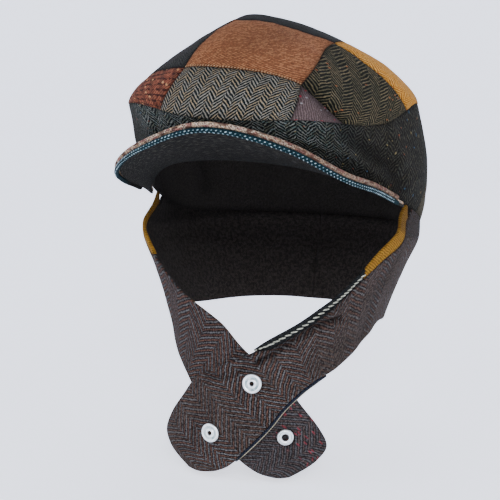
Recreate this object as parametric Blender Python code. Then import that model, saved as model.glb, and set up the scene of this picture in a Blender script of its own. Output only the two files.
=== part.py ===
"""Patchwork tweed cap with a soft front peak and a cape for the ears and neck.

The cap stands in the shape it takes when worn, pushed back on the head, with
the two long flaps of the cape crossed under the chin. +X is the wearer's left,
-Y the way the wearer faces and +Z is up. The origin is the middle of the head
opening, at the height of the ends of the peak."""

import math

import bmesh
import bpy
from mathutils import Vector

MM = 0.001

# Cloth and the gap kept between neighbouring pieces
JOINT_GAP = 0.3 * MM
CROWN_CLOTH = 2.4 * MM
PEAK_CLOTH = 1.8 * MM
CAPE_CLOTH = 2.6 * MM

# Crown
EDGE_REACH = 103.0 * MM
EDGE_HEIGHT = 41.0 * MM
BAND_BULGE = 9.0 * MM
SEAM_REACH = 141.0 * MM
SEAM_HEIGHT = 74.0 * MM
SEAM_DIP = 10.5 * MM
SEAM_DIP_TURN = 43.0
SEAM_DIP_REACH = 49.0
APEX_SIDE = -6.5 * MM
APEX_FRONT = 41.0 * MM
APEX_HEIGHT = 135.5 * MM
CROWN_LEAN = 0.07
FLAT_SIDE = 0.31
SIDE_DROP = 14.0 * MM
BAND_JOIN = 99.0

# Peak
PEAK_REACH = 47.0 * MM
PEAK_END = 2.0 * MM
PEAK_TURN = 82.0
PEAK_SEAT = 0.8 * MM
ROLL_RADIUS = 1.8 * MM

# Cape and its two flaps
CAPE_SIDE = 107.0 * MM
CAPE_FRONT = 91.0 * MM
CAPE_BACK = 116.0 * MM
CAPE_SETTLE = 30.0 * MM
CAPE_SEAT = 0.8 * MM
NAPE_GAP = 1.0 * MM
FLAP_DROP = 198.0 * MM
FLAP_RISE = 9.0 * MM
FACING_WIDTH = 11.0 * MM
TWIST_WIDTH = 6.5 * MM
PIPING_WIDTH = 2.6 * MM

# Snap fasteners
CAP_RADIUS = 7.2 * MM
CAP_HOLE = 1.7 * MM
CAP_HEIGHT = 1.6 * MM
STUD_RADIUS = 6.2 * MM
STUD_HOLE = 2.6 * MM
STUD_HEIGHT = 2.0 * MM
BACK_HEIGHT = 1.2 * MM
SNAP_STACK = 2.4 * MM
SNAP_SEAT = 0.45 * MM
BACK_SEAT = 0.7 * MM
FLAP_LIFT = CAPE_CLOTH + SNAP_STACK + 2 * SNAP_SEAT

# Crown, a row every 30 degrees from the brow (turn 0) to the nape (turn 180).
# Shares of EDGE_REACH, EDGE_HEIGHT, BAND_BULGE, SEAM_REACH and SEAM_HEIGHT, then fullness
CROWN_STEP = 30.0
CROWN_COLUMNS = ("edge_reach", "edge_height", "bulge", "seam_reach", "seam_height", "full")
CROWN = (
    (1.00, 1.00, 0.00, 1.013, 0.93, 1.78),
    (0.97, 0.85, 0.22, 0.935, 1.02, 1.53),
    (0.94, 0.39, 0.56, 0.794, 0.94, 1.50),
    (1.00, -0.12, 0.85, 0.755, 0.975, 1.55),
    (1.10, -0.64, 0.65, 0.74, 0.87, 1.70),
    (1.13, -0.78, 0.75, 0.78, 0.76, 1.80),
    (1.13, -0.82, 0.80, 0.795, 0.73, 1.80),
)

# Peak, at even steps from the wearer's right end to the left one: share of
# PEAK_REACH, then the lift in degrees
PEAK_COLUMNS = ("reach", "lift")
PEAK = (
    (0.00, 14),
    (0.37, 4),
    (0.71, 4),
    (0.94, 16),
    (1.05, 27),
    (0.98, 19),
    (0.60, 1),
    (0.15, 4),
    (0.00, 5),
)

# Cape body, a row every eighth of FLAP_DROP from just above the origin: shares
# of CAPE_SIDE, CAPE_FRONT and CAPE_BACK
BODY_TOP = 0.10
BODY_STEP = 0.126
BODY_SQUARE = 2.3
BODY_COLUMNS = ("side", "front", "back")
BODY = (
    (0.89, 0.92, 0.93),
    (0.96, 0.92, 0.98),
    (1.00, 0.90, 1.00),
    (0.91, 0.89, 0.95),
    (0.82, 0.89, 0.87),
    (0.75, 0.91, 0.80),
    (0.73, 0.96, 0.75),
    (0.77, 0.99, 0.72),
    (0.79, 1.00, 0.70),
    (0.80, 1.00, 0.69),
)

# Flap stations from the nape to the rounded end: the turn in degrees and the
# drop, as a share of FLAP_DROP, of the edge beside the face and of the hem
FLAP_COLUMNS = ("face_turn", "face_drop", "hem_turn", "hem_drop")
FLAP = (
    (180, 0.100, 180, 0.525),
    (150, 0.100, 150, 0.520),
    (120, 0.050, 121, 0.510),
    (101, 0.020, 100, 0.490),
    (89, 0.011, 85, 0.475),
    (76, 0.087, 75, 0.495),
    (65.5, 0.130, 67, 0.515),
    (59.5, 0.174, 59, 0.545),
    (52, 0.257, 52, 0.571),
    (43, 0.326, 46, 0.596),
    (29, 0.406, 37, 0.636),
    (13, 0.480, 30, 0.672),
    (1, 0.547, 22, 0.732),
    (-12, 0.596, 16, 0.798),
    (-22, 0.641, 8, 0.874),
    (-29, 0.717, 0, 0.939),
    (-38, 0.813, -8, 0.980),
    (-42, 0.884, -14, 0.995),
    (-37, 0.934, -19, 1.000),
    (-31, 0.965, -24, 0.995),
)
FACE_START = 4.0
MUSTARD_END = 7.5
TWIST_END = 11.5
PIPE_START = 9.5
PIPE_END = 15.0

# Snaps: turn in degrees, drop as a share of FLAP_DROP
SNAPS = {"inner": (7.0, 0.636), "end": (-12.0, 0.838), "stud": (22.0, 0.838)}

# Corners of the crown patches: on the crown seam by turn, or inside it by the
# shares (sideways, front to back) of the way from the apex to the seam
RIM = {
    "front_right": -17.0,
    "front_left": 21.5,
    "brow_right": -66.0,
    "brow_left": 39.0,
    "ridge_right": -82.0,
    "ridge_left": 76.0,
    "rear_right": -120.0,
    "rear_left": 120.0,
    "nape_right": -161.0,
    "nape_left": 161.0,
}
TOP = {
    "a_right": (-0.146, -0.646),
    "a_left": (0.318, -0.608),
    "b_right": (-0.04, -0.20),
    "b_left": (0.405, -0.05),
    "c_right": (-0.30, 0.45),
    "c_left": (0.38, 0.45),
}
PATCHES = (
    ("patch_front_right", "front_right", "corner", "brow_right", "a_right", (0.42, 0.20, 0.16)),
    ("patch_front_centre", "front_right", "front_left", "a_left", "a_right", (0.40, 0.40, 0.38)),
    ("patch_front_left", "front_left", "corner", "brow_left", "a_left", (0.24, 0.20, 0.24)),
    ("patch_top_right", "brow_right", "a_right", "b_right", "ridge_right", (0.05, 0.05, 0.06)),
    ("patch_top_centre", "a_right", "a_left", "b_left", "b_right", (0.30, 0.16, 0.10)),
    ("patch_top_left", "a_left", "brow_left", "ridge_left", "b_left", (0.10, 0.11, 0.10)),
    ("patch_ridge_right", "ridge_right", "b_right", "c_right", "rear_right", (0.16, 0.12, 0.10)),
    ("patch_ridge_centre", "b_right", "b_left", "c_left", "c_right", (0.04, 0.04, 0.05)),
    ("patch_ridge_left", "b_left", "ridge_left", "rear_left", "c_left", (0.55, 0.34, 0.10)),
    ("patch_back_right", "c_right", "rear_right", "corner", "nape_right", (0.20, 0.16, 0.14)),
    ("patch_back_centre", "c_right", "c_left", "nape_left", "nape_right", (0.16, 0.17, 0.20)),
    ("patch_back_left", "c_left", "rear_left", "corner", "nape_left", (0.22, 0.15, 0.11)),
)


def between(near, far, before, after, t):
    """Smooth value between near and far, from the values on either side of them."""
    line = (far - before) * t
    square = (2 * before - 5 * near + 4 * far - after) * t * t
    cube = (3 * near - before - 3 * far + after) * t ** 3
    return 0.5 * (2 * near + line + square + cube)


def at_row(rows, column, row, level_ends=True):
    """Value of one column between the rows of a table, level or straight past its ends."""
    last = len(rows) - 1
    row = min(max(row, 0.0), float(last))
    low = min(int(row), last - 1)
    near, far = rows[low][column], rows[low + 1][column]
    before = far if level_ends else 2 * near - far
    after = near if level_ends else 2 * far - near
    if low > 0:
        before = rows[low - 1][column]
    if low + 2 <= last:
        after = rows[low + 2][column]
    return between(near, far, before, after, row - low)


def mix(low, high, share):
    return low + (high - low) * share


def ease(share):
    share = min(max(share, 0.0), 1.0)
    return share * share * (3 - 2 * share)


def outward(turn):
    """Level direction from the middle of the cap at a turn in degrees."""
    angle = math.radians(turn)
    return Vector((math.sin(angle), -math.cos(angle), 0.0))


def crown_value(name, turn):
    around = (turn + 180.0) % 360.0 - 180.0
    return at_row(CROWN, CROWN_COLUMNS.index(name), abs(around) / CROWN_STEP)


def crown_edge(turn, depth=0.0):
    """Point of the lower edge of the crown."""
    reach = crown_value("edge_reach", turn) * EDGE_REACH - depth
    return outward(turn) * reach + Vector((0, 0, crown_value("edge_height", turn) * EDGE_HEIGHT))


def crown_seam(turn, depth=0.0):
    """Point of the seam where the band meets the patches."""
    reach = crown_value("seam_reach", turn) * SEAM_REACH - depth
    around = abs((turn - SEAM_DIP_TURN + 180.0) % 360.0 - 180.0)
    dip = SEAM_DIP * ease(1 - around / SEAM_DIP_REACH)
    return outward(turn) * reach + Vector((0, 0, crown_value("seam_height", turn) * SEAM_HEIGHT - dip))


def band_point(turn, share, depth):
    """Point of the band, from the lower edge (0) to the crown seam (1)."""
    bulge = crown_value("bulge", turn) * BAND_BULGE * math.sin(math.pi * share ** 0.8)
    return crown_edge(turn, depth).lerp(crown_seam(turn, depth), share) + outward(turn) * bulge


def dome_point(sideways, back, depth):
    """Point of the crown top by its two shares of the way from the apex to the seam."""
    reach = min(math.hypot(sideways, back), 1.0)
    turn = math.degrees(math.atan2(sideways, -back))
    seam = crown_seam(turn, depth)
    right = max(0.0, -math.sin(math.radians(turn) + 0.2))
    full = crown_value("full", turn) - FLAT_SIDE * right
    out = math.sin(reach * math.pi / 2) ** (2 / full)
    up = max(math.cos(reach * math.pi / 2), 0.0) ** (2 / full)
    x = mix(APEX_SIDE, seam.x, out)
    y = mix(-APEX_FRONT, seam.y, out)
    z = mix(seam.z, APEX_HEIGHT - depth, up) - CROWN_LEAN * x * (1 - reach ** 3)
    z -= SIDE_DROP * right * math.sin(math.pi * reach) ** 2
    return Vector((x, y, z))


def patch_corner(name):
    if name in TOP:
        return TOP[name]
    angle = math.radians(RIM[name])
    return math.sin(angle), -math.cos(angle)


def patch_edge(start, end, share):
    """Shares of a point on the edge between two named patch corners."""
    if start in RIM and end in RIM:
        way = (RIM[end] - RIM[start] + 180.0) % 360.0 - 180.0
        angle = math.radians(RIM[start] + way * share)
        return math.sin(angle), -math.cos(angle)
    low, high = patch_corner(start), patch_corner(end)
    return mix(low[0], high[0], share), mix(low[1], high[1], share)


def patch_shares(corners, a, b):
    """Shares inside a four-cornered patch, blended from its four edges."""
    c00, c10, c11, c01 = corners
    low, high = patch_edge(c00, c10, a), patch_edge(c01, c11, a)
    left, right = patch_edge(c00, c01, b), patch_edge(c10, c11, b)
    p00, p10, p11, p01 = (patch_corner(name) for name in corners)
    shares = []
    for k in (0, 1):
        edges = mix(low[k], high[k], b) + mix(left[k], right[k], a)
        shares.append(edges - mix(mix(p00[k], p10[k], a), mix(p01[k], p11[k], a), b))
    return shares


def peak_value(name, share):
    return at_row(PEAK, PEAK_COLUMNS.index(name), share * (len(PEAK) - 1))


def peak_point(share, out, drop):
    """Point of the peak: share from the right end to the left, out from root to rim."""
    turn = mix(-PEAK_TURN, PEAK_TURN, share)
    reach = PEAK_END + peak_value("reach", share) * (PEAK_REACH - PEAK_END)
    lift = math.radians(peak_value("lift", share))
    along = outward(turn) + Vector((0, 0, math.tan(lift)))
    above = Vector((0, 0, math.cos(lift))) - outward(turn) * math.sin(lift)
    return crown_edge(turn) + along * (reach * out) - above * drop


def body_value(name, height):
    return at_row(BODY, BODY_COLUMNS.index(name), (BODY_TOP - height / FLAP_DROP) / BODY_STEP)


def body_reach(turn, height):
    """Reach of the cape body at a turn in degrees and a height."""
    sine = abs(math.sin(math.radians(turn)))
    cosine = math.cos(math.radians(turn))
    side = body_value("side", height) * CAPE_SIDE
    lengthways = body_value("back", height) * CAPE_BACK
    if cosine > 0:
        lengthways = body_value("front", height) * CAPE_FRONT
    total = (sine / side) ** BODY_SQUARE + (abs(cosine) / lengthways) ** BODY_SQUARE
    return total ** (-1 / BODY_SQUARE)


def body_point(turn, height, lift):
    """Point of the cape body; it leaves the crown edge and settles into its own shape."""
    edge = crown_edge(turn)
    free = ease((edge.z - height) / CAPE_SETTLE)
    reach = mix(math.hypot(edge.x, edge.y), body_reach(turn, height), free)
    point = outward(turn) * (reach + lift)
    point.z = height
    return point


def body_normal(turn, height, lift):
    """Outward direction of the cape body."""
    across = body_point(turn + 1, height, lift) - body_point(turn - 1, height, lift)
    down = body_point(turn, height - MM, lift) - body_point(turn, height + MM, lift)
    normal = across.cross(down).normalized()
    return normal if normal.dot(outward(turn)) > 0 else -normal


def flap_value(name, station):
    return at_row(FLAP, FLAP_COLUMNS.index(name), station, False)


def flap_point(side, station, share, depth=0.0):
    """Point of one flap: side +1 is the wearer's left and the upper one."""
    rise = 0.0
    if side < 0:
        rise = FLAP_RISE * math.sin(math.pi * ease((station - 7.0) / 8.0)) ** 2
    face = flap_value("face_turn", station)
    face_height = rise - flap_value("face_drop", station) * FLAP_DROP
    below_crown = crown_edge(face).z - CAPE_SEAT
    face_height = below_crown if station < FACE_START else min(face_height, below_crown)
    turn = mix(face, flap_value("hem_turn", station), share)
    height = mix(face_height, -flap_value("hem_drop", station) * FLAP_DROP, share)
    lift = 0.0
    if side > 0:
        lift = FLAP_LIFT * ease((84.0 - turn) / 36.0)
    point = body_point(turn, height, lift - depth)
    if station < 0.25:
        point.x = max(point.x, NAPE_GAP / 2)
    point.x *= side
    return point


def strip_width(side, station):
    """Width of the facing that shows along the edge beside the face."""
    if station < FACE_START:
        return 0.0
    if station <= MUSTARD_END - 0.5:
        return FACING_WIDTH
    if side < 0:
        return 0.12 * FACING_WIDTH if station <= MUSTARD_END else 0.0
    if station <= MUSTARD_END:
        return (FACING_WIDTH + TWIST_WIDTH) / 2
    if station < TWIST_END:
        return TWIST_WIDTH
    return 0.24 * TWIST_WIDTH if station <= TWIST_END else 0.0


def pipe_width(side, station):
    """Width of the piping along the hem of the upper flap."""
    if side < 0 or station < PIPE_START or station > PIPE_END:
        return 0.0
    return 0.35 * PIPING_WIDTH if station in (PIPE_START, PIPE_END) else PIPING_WIDTH


def flap_width(side, station):
    return (flap_point(side, station, 0) - flap_point(side, station, 1)).length


def clear_scene():
    for item in list(bpy.data.objects):
        bpy.data.objects.remove(item, do_unlink=True)


def new_object(name, bm, colour, rough=0.9, metal=0.0):
    """Object with its own material from a finished closed mesh."""
    bmesh.ops.recalc_face_normals(bm, faces=bm.faces)
    mesh = bpy.data.meshes.new(name)
    bm.to_mesh(mesh)
    bm.free()
    material = bpy.data.materials.new(name)
    material.use_nodes = True
    shader = material.node_tree.nodes["Principled BSDF"]
    shader.inputs["Base Color"].default_value = (*colour, 1.0)
    shader.inputs["Roughness"].default_value = rough
    shader.inputs["Metallic"].default_value = metal
    mesh.materials.append(material)
    item = bpy.data.objects.new(name, mesh)
    bpy.data.collections["peaked_cape_cap"].objects.link(item)
    return item


def grid_layer(bm, across, along, place):
    """One sheet of a piece, with place(a, b) giving each point."""
    made = bmesh.ops.create_grid(bm, x_segments=across, y_segments=along, size=0.5)["verts"]
    for vert in made:
        vert.co = place(vert.co.x + 0.5, vert.co.y + 0.5)
    return made


def cloth_block(name, across, along, place, colour):
    """Closed cloth piece between an outer and an inner sheet, place(a, b, inner)."""
    bm = bmesh.new()
    outer = grid_layer(bm, across, along, lambda a, b: place(a, b, 0))
    rim = [edge for edge in bm.edges if edge.is_boundary]
    inner = grid_layer(bm, across, along, lambda a, b: place(a, b, 1))
    below = dict(zip(outer, inner))
    for edge in rim:
        start, end = edge.verts
        bm.faces.new((start, end, below[end], below[start]))
    return new_object(name, bm, colour)


def cloth_roll(name, points, radius, colour):
    """Round roll along a line of points."""
    curve = bpy.data.curves.new(name + "_line", "CURVE")
    curve.dimensions = "3D"
    curve.bevel_depth = radius
    curve.bevel_resolution = 1
    curve.use_fill_caps = True
    spline = curve.splines.new("POLY")
    spline.points.add(len(points) - 1)
    for knot, point in zip(spline.points, points):
        knot.co = (*point, 1.0)
    line = bpy.data.objects.new(name + "_line", curve)
    bpy.context.scene.collection.objects.link(line)
    bpy.context.view_layer.update()
    swept = bpy.data.meshes.new_from_object(line)
    bpy.data.objects.remove(line, do_unlink=True)
    bm = bmesh.new()
    bm.from_mesh(swept)
    bmesh.ops.remove_doubles(bm, verts=bm.verts, dist=0.01 * MM)
    return new_object(name, bm, colour)


def turned_ring(name, profile, centre, normal, colour, rough):
    """Metal ring turned from a closed profile of (radius, height) points."""
    bm = bmesh.new()
    ring = [bm.verts.new((radius, 0, height)) for radius, height in profile]
    loop = [bm.edges.new((ring[k], ring[(k + 1) % len(ring)])) for k in range(len(ring))]
    bmesh.ops.spin(
        bm, geom=ring + loop, cent=(0, 0, 0), axis=(0, 0, 1),
        angle=math.tau, steps=20, use_merge=True,
    )
    bmesh.ops.remove_doubles(bm, verts=bm.verts, dist=0.01 * MM)
    upright = Vector((0, 0, 1)).rotation_difference(normal).to_matrix()
    for vert in bm.verts:
        vert.co = centre + upright @ vert.co
    return new_object(name, bm, colour, rough, 1.0)


def plain_disc(name, radius, height, centre, normal, colour):
    """Plain round metal piece standing on its centre point along a normal."""
    bm = bmesh.new()
    bmesh.ops.create_cone(
        bm, cap_ends=True, segments=20, radius1=radius, radius2=radius, depth=height,
    )
    upright = Vector((0, 0, 1)).rotation_difference(normal).to_matrix()
    for vert in bm.verts:
        vert.co.z += height / 2
        vert.co = centre + upright @ vert.co
    return new_object(name, bm, colour, 0.35, 1.0)


# Scene and collections
clear_scene()
for title in ("peaked_cape_cap", "cutters"):
    group = bpy.data.collections.new(title)
    bpy.context.scene.collection.children.link(group)


# Crown patches
def build_patch(name, corners, colour):
    corners = list(corners)
    if "corner" in corners:
        at = corners.index("corner")
        before, after = corners[at - 1], corners[(at + 1) % 4]
        RIM[name] = (RIM[before] + RIM[after]) / 2
        corners[at] = name

    def span(start, end):
        ends = [dome_point(*patch_shares(corners, *at), 0) for at in (start, end)]
        return (ends[0] - ends[1]).length

    inset_a = JOINT_GAP / 2 / span((0, 0.5), (1, 0.5))
    inset_b = JOINT_GAP / 2 / span((0.5, 0), (0.5, 1))

    def place(a, b, inner):
        a, b = mix(inset_a, 1 - inset_a, a), mix(inset_b, 1 - inset_b, b)
        return dome_point(*patch_shares(corners, a, b), inner * CROWN_CLOTH)

    cloth_block(name, 6, 6, place, colour)


for name, c00, c10, c11, c01, colour in PATCHES:
    build_patch(name, (c00, c10, c11, c01), colour)


# Crown band in two lengths
def build_band(name, start, end, cells, colour):
    edge = crown_edge(start)
    margin = math.degrees(JOINT_GAP / 2 / math.hypot(edge.x, edge.y))
    top = 1.0 - JOINT_GAP / (crown_seam(0) - crown_edge(0)).length

    def place(a, b, inner):
        turn = mix(start + margin, end - margin, a)
        return band_point(turn, top * b, CROWN_CLOTH * inner)

    cloth_block(name, cells, 5, place, colour)


build_band("band_front", -BAND_JOIN, BAND_JOIN, 26, (0.07, 0.08, 0.10))
build_band("band_back", BAND_JOIN, 360 - BAND_JOIN, 20, (0.17, 0.13, 0.09))


# Peak: cover, underside, and the two rolls along its rim
def build_peak(name, drop, colour):
    def place(a, b, inner):
        return peak_point(a, b, drop + PEAK_CLOTH * inner)

    cloth_block(name, 26, 4, place, colour)


build_peak("peak_cover", PEAK_SEAT, (0.50, 0.40, 0.36))
build_peak("peak_underside", PEAK_SEAT + PEAK_CLOTH + JOINT_GAP, (0.08, 0.08, 0.08))


def rim_line(drop, out):
    """Line outside the rim of the peak, at a drop below its upper face."""
    points = []
    for k in range(33):
        share = mix(0.045, 0.955, k / 32)
        turn = mix(-PEAK_TURN, PEAK_TURN, share)
        away = outward(turn) + Vector((0, 0, math.tan(math.radians(peak_value("lift", share)))))
        points.append(peak_point(share, 1.0, drop) + away.normalized() * out)
    return points


roll_out = ROLL_RADIUS + 2 * JOINT_GAP
piping_drop = PEAK_SEAT + PEAK_CLOTH / 2 - 0.28 * ROLL_RADIUS
binding_drop = piping_drop + 2 * ROLL_RADIUS + JOINT_GAP
cloth_roll("peak_piping", rim_line(piping_drop, roll_out), ROLL_RADIUS, (0.55, 0.42, 0.38))
cloth_roll("peak_binding", rim_line(binding_drop, roll_out), ROLL_RADIUS, (0.30, 0.42, 0.44))


# Cape in two halves, with the facings that show around its edges
def build_flap(name, side, colour):
    cells = 2 * (len(FLAP) - 1)

    def place(a, b, inner):
        station = round(a * cells) / 2
        width = flap_width(side, station)
        strip, pipe = strip_width(side, station), pipe_width(side, station)
        low = (strip + JOINT_GAP) / width if strip else 0.0
        high = 1 - (pipe + JOINT_GAP) / width if pipe else 1.0
        return flap_point(side, station, mix(low, high, b), CAPE_CLOTH * inner)

    cloth_block(name, cells, 5, place, colour)


def build_facing(name, side, start, end, width_at, from_hem, colour):
    """Facing around the edge beside the face, or around the hem."""
    cells = round(2 * (end - start))

    def place(a, b, inner):
        station = mix(start, end, round(a * cells) / cells)
        strip = width_at(side, station) / flap_width(side, station)
        share = 1 - strip * b if from_hem else strip * b
        if a < 0.01 or a > 0.99:
            step = 0.5 if a < 0.01 else -0.5
            stretch = (flap_point(side, station, share) - flap_point(side, station + step, share)).length
            station += step * JOINT_GAP / stretch
        return flap_point(side, station, share, CAPE_CLOTH * inner)

    cloth_block(name, cells, 2, place, colour)


build_flap("cape_left", 1, (0.16, 0.13, 0.12))
build_flap("cape_right", -1, (0.15, 0.12, 0.12))
mustard = (0.45, 0.30, 0.05)
build_facing("facing_mustard_left", 1, FACE_START, MUSTARD_END, strip_width, False, mustard)
build_facing("facing_mustard_right", -1, FACE_START, MUSTARD_END, strip_width, False, mustard)
build_facing("facing_twist_left", 1, MUSTARD_END, TWIST_END, strip_width, False, (0.40, 0.40, 0.36))
build_facing("hem_piping_left", 1, PIPE_START, PIPE_END, pipe_width, True, (0.10, 0.12, 0.20))


# Snap fasteners: two caps on the upper flap, the open stud on the lower one,
# and plain discs for what is hidden between and behind the flaps
def snap_profile(radius, hole, height, steps):
    """Closed profile of a ring, each step a share of its wall and of its height."""
    return [(mix(hole, radius, wall), height * up) for wall, up in steps]


CAP_STEPS = (
    (0.00, 0.00), (0.96, 0.00), (1.00, 0.30), (0.93, 0.70), (0.76, 0.84),
    (0.65, 0.60), (0.35, 0.60), (0.27, 0.94), (0.09, 1.00), (0.00, 0.75),
)
STUD_STEPS = (
    (0.00, 0.00), (0.94, 0.00), (1.00, 0.25), (0.83, 0.75), (0.44, 1.00),
    (0.14, 0.95), (0.00, 0.70),
)
cap_profile = snap_profile(CAP_RADIUS, CAP_HOLE, CAP_HEIGHT, CAP_STEPS)
stud_profile = snap_profile(STUD_RADIUS, STUD_HOLE, STUD_HEIGHT, STUD_STEPS)
nickel = (0.78, 0.78, 0.76)


def snap_seat(key, lift):
    turn, drop = SNAPS[key]
    height = -drop * FLAP_DROP
    return body_point(turn, height, lift), body_normal(turn, height, lift)


for key in ("inner", "end"):
    centre, normal = snap_seat(key, FLAP_LIFT)
    turned_ring("snap_cap_" + key, cap_profile, centre + normal * JOINT_GAP, normal, nickel, 0.3)
socket_depth = CAPE_CLOTH + BACK_SEAT + STUD_HEIGHT
plain_disc("snap_socket_end", STUD_RADIUS, STUD_HEIGHT, centre - normal * socket_depth, normal, nickel)
back_depth = CAPE_CLOTH + BACK_SEAT + BACK_HEIGHT
centre, normal = snap_seat("stud", 0.0)
turned_ring("snap_stud", stud_profile, centre + normal * JOINT_GAP, normal, nickel, 0.3)
plain_disc("snap_back_stud", CAP_RADIUS, BACK_HEIGHT, centre - normal * back_depth, normal, nickel)
centre, normal = snap_seat("inner", 0.0)
plain_disc("snap_mated", STUD_RADIUS, SNAP_STACK, centre + normal * SNAP_SEAT, normal, nickel)
plain_disc("snap_back_inner", CAP_RADIUS, BACK_HEIGHT, centre - normal * back_depth, normal, nickel)
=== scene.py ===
import functools
import math

import bmesh
import bpy
from mathutils import Matrix, Vector, noise


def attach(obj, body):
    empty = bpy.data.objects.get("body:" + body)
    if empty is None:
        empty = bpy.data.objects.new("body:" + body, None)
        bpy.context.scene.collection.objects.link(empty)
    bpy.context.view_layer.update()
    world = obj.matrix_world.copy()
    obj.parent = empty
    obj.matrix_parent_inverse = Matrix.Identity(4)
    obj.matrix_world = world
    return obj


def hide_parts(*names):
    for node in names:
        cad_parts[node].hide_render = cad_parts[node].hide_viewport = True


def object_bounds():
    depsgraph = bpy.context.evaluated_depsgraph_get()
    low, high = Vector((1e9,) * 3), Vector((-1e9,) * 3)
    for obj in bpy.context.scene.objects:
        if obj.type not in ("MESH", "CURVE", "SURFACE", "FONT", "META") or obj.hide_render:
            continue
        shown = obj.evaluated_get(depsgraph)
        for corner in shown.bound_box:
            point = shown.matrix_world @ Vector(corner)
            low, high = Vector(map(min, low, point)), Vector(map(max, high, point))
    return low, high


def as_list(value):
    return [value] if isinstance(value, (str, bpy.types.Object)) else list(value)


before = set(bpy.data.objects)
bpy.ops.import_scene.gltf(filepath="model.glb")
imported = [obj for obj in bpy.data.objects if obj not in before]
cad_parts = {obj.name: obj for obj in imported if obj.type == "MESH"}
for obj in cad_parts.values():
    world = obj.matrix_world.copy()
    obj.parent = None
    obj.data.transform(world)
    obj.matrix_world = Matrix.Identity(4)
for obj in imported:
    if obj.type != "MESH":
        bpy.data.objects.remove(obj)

cad_low, cad_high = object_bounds()
MM = 0.001


# Camera, floor and light. The camera stands in front of the cap, a little above it
# and to the wearer's left. The cap is held up over a plain pale floor, in the soft
# light of a lamp beside the camera and three weaker ones opposite, overhead and behind.
CAMERA_PLACE = Vector((0.2978, -0.8840, 0.1362))
CAMERA_AIM = Vector((-0.0211, -0.0077, -0.0451))
FLOOR_DROP = 6 * MM
FLOOR_REACH = 2.2
FLOOR_BEND = 1.2
FLOOR_BEND_STEPS = 16
FLOOR_SIDES = 96
WALL_HEIGHT = 4.0
WALL_SHADE = (0.83, 0.85, 0.92)
WALL_GLOW = 1.05
SKY_STRENGTH = 0.25
LENS = 87.3


def put(name, data):
    item = bpy.data.objects.new(name, data)
    bpy.context.scene.collection.objects.link(item)
    return item


def turned_to(item, place, aim):
    item.location = place
    item.rotation_euler = (aim - place).to_track_quat("-Z", "Y").to_euler()


def smooth_mesh(name, bm):
    """Mesh data with smooth faces, from a bmesh that is done with."""
    for face in bm.faces:
        face.smooth = True
    mesh = bpy.data.meshes.new(name)
    bm.to_mesh(mesh)
    bm.free()
    return mesh


def new_material(name, values):
    """Material with its nodes and its shader, whose fixed inputs have their values."""
    material = bpy.data.materials.new(name)
    material.use_nodes = True
    shader = material.node_tree.nodes["Principled BSDF"]
    for key, value in values.items():
        shader.inputs[key].default_value = value
    return material, material.node_tree, shader


camera_data = bpy.data.cameras.new("photo_camera")
camera_data.lens = LENS
camera_data.sensor_width = 36.0
camera = put("photo_camera", camera_data)
turned_to(camera, CAMERA_PLACE, CAMERA_AIM)
bpy.context.scene.camera = camera

floor_mesh = bmesh.new()
steps = [k / FLOOR_BEND_STEPS for k in range(FLOOR_BEND_STEPS + 1)]
line = [Vector((0, 0, 0))]
line += [Vector((FLOOR_REACH + FLOOR_BEND * math.sin(step * math.pi / 2), 0,
                 FLOOR_BEND * (1 - math.cos(step * math.pi / 2)))) for step in steps]
line.append(Vector((FLOOR_REACH + FLOOR_BEND, 0, WALL_HEIGHT)))
knots = [floor_mesh.verts.new(point) for point in line]
profile = [floor_mesh.edges.new(pair) for pair in zip(knots, knots[1:])]
bmesh.ops.spin(floor_mesh, geom=knots + profile, cent=(0, 0, 0), axis=(0, 0, 1), angle=math.tau,
               steps=FLOOR_SIDES, use_merge=True)
bmesh.ops.remove_doubles(floor_mesh, verts=floor_mesh.verts, dist=MM)
bmesh.ops.translate(floor_mesh, verts=floor_mesh.verts, vec=(0, 0, cad_low.z - FLOOR_DROP))
floor = put("floor", smooth_mesh("floor", floor_mesh))
floor_paint, _, _ = new_material("floor_paint", {
    "Base Color": (*WALL_SHADE, 1), "Roughness": 0.9,
    "Emission Color": (*WALL_SHADE, 1), "Emission Strength": WALL_GLOW,
})
floor.data.materials.append(floor_paint)

LAMPS = (
    ("lamp_beside_camera", (0.50, -1.15, 0.62), 0.35, 9.0),
    ("lamp_opposite", (-1.20, -0.80, 0.40), 0.80, 1.8),
    ("lamp_overhead", (-0.10, 0.30, 1.30), 0.70, 2.2),
    ("lamp_behind", (0.40, 1.40, 0.60), 0.80, 1.6),
)
for title, place, size, power in LAMPS:
    lamp_data = bpy.data.lights.new(title, "AREA")
    lamp_data.shape = "DISK"
    lamp_data.size = size
    lamp_data.energy = power
    turned_to(put(title, lamp_data), Vector(place), Vector((0, 0, 0)))

world = bpy.data.worlds.new("studio")
world.use_nodes = True
background = world.node_tree.nodes["Background"]
background.inputs["Color"].default_value = (*WALL_SHADE, 1)
background.inputs["Strength"].default_value = SKY_STRENGTH
bpy.context.scene.world = world


# Crown patches. Twelve pieces of old wool jackets, from 4 to 12 cm long and 2.4 mm
# thick, sewn edge to edge over the top in four rows of three. Their raw edges roll
# under at the seams, and the cloth lies in soft waves because nothing stiffens it.
WELD = 0.01 * MM
JOINT_GAP = 0.3 * MM
SEAM_GAP = 0.02 * MM
CROWN_CLOTH = 2.4 * MM
EDGE_REACH = 103 * MM
EDGE_HEIGHT = 41 * MM
BAND_BULGE = 9 * MM
SEAM_REACH = 141 * MM
SEAM_HEIGHT = 74 * MM
SEAM_DIP = 10.5 * MM
SEAM_DIP_TURN = 43.0
SEAM_DIP_REACH = 49.0
APEX_SIDE = -6.5 * MM
APEX_FRONT = 41 * MM
APEX_HEIGHT = 135.5 * MM
CROWN_LEAN = 0.07
FLAT_SIDE = 0.31
FLAT_TURN = 0.2
SIDE_DROP = 14 * MM
BULGE_LOW = 0.8
CROWN_WAVES = ((1.1, 26), (0.45, 75))
CROWN_STEP = 30.0
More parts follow.
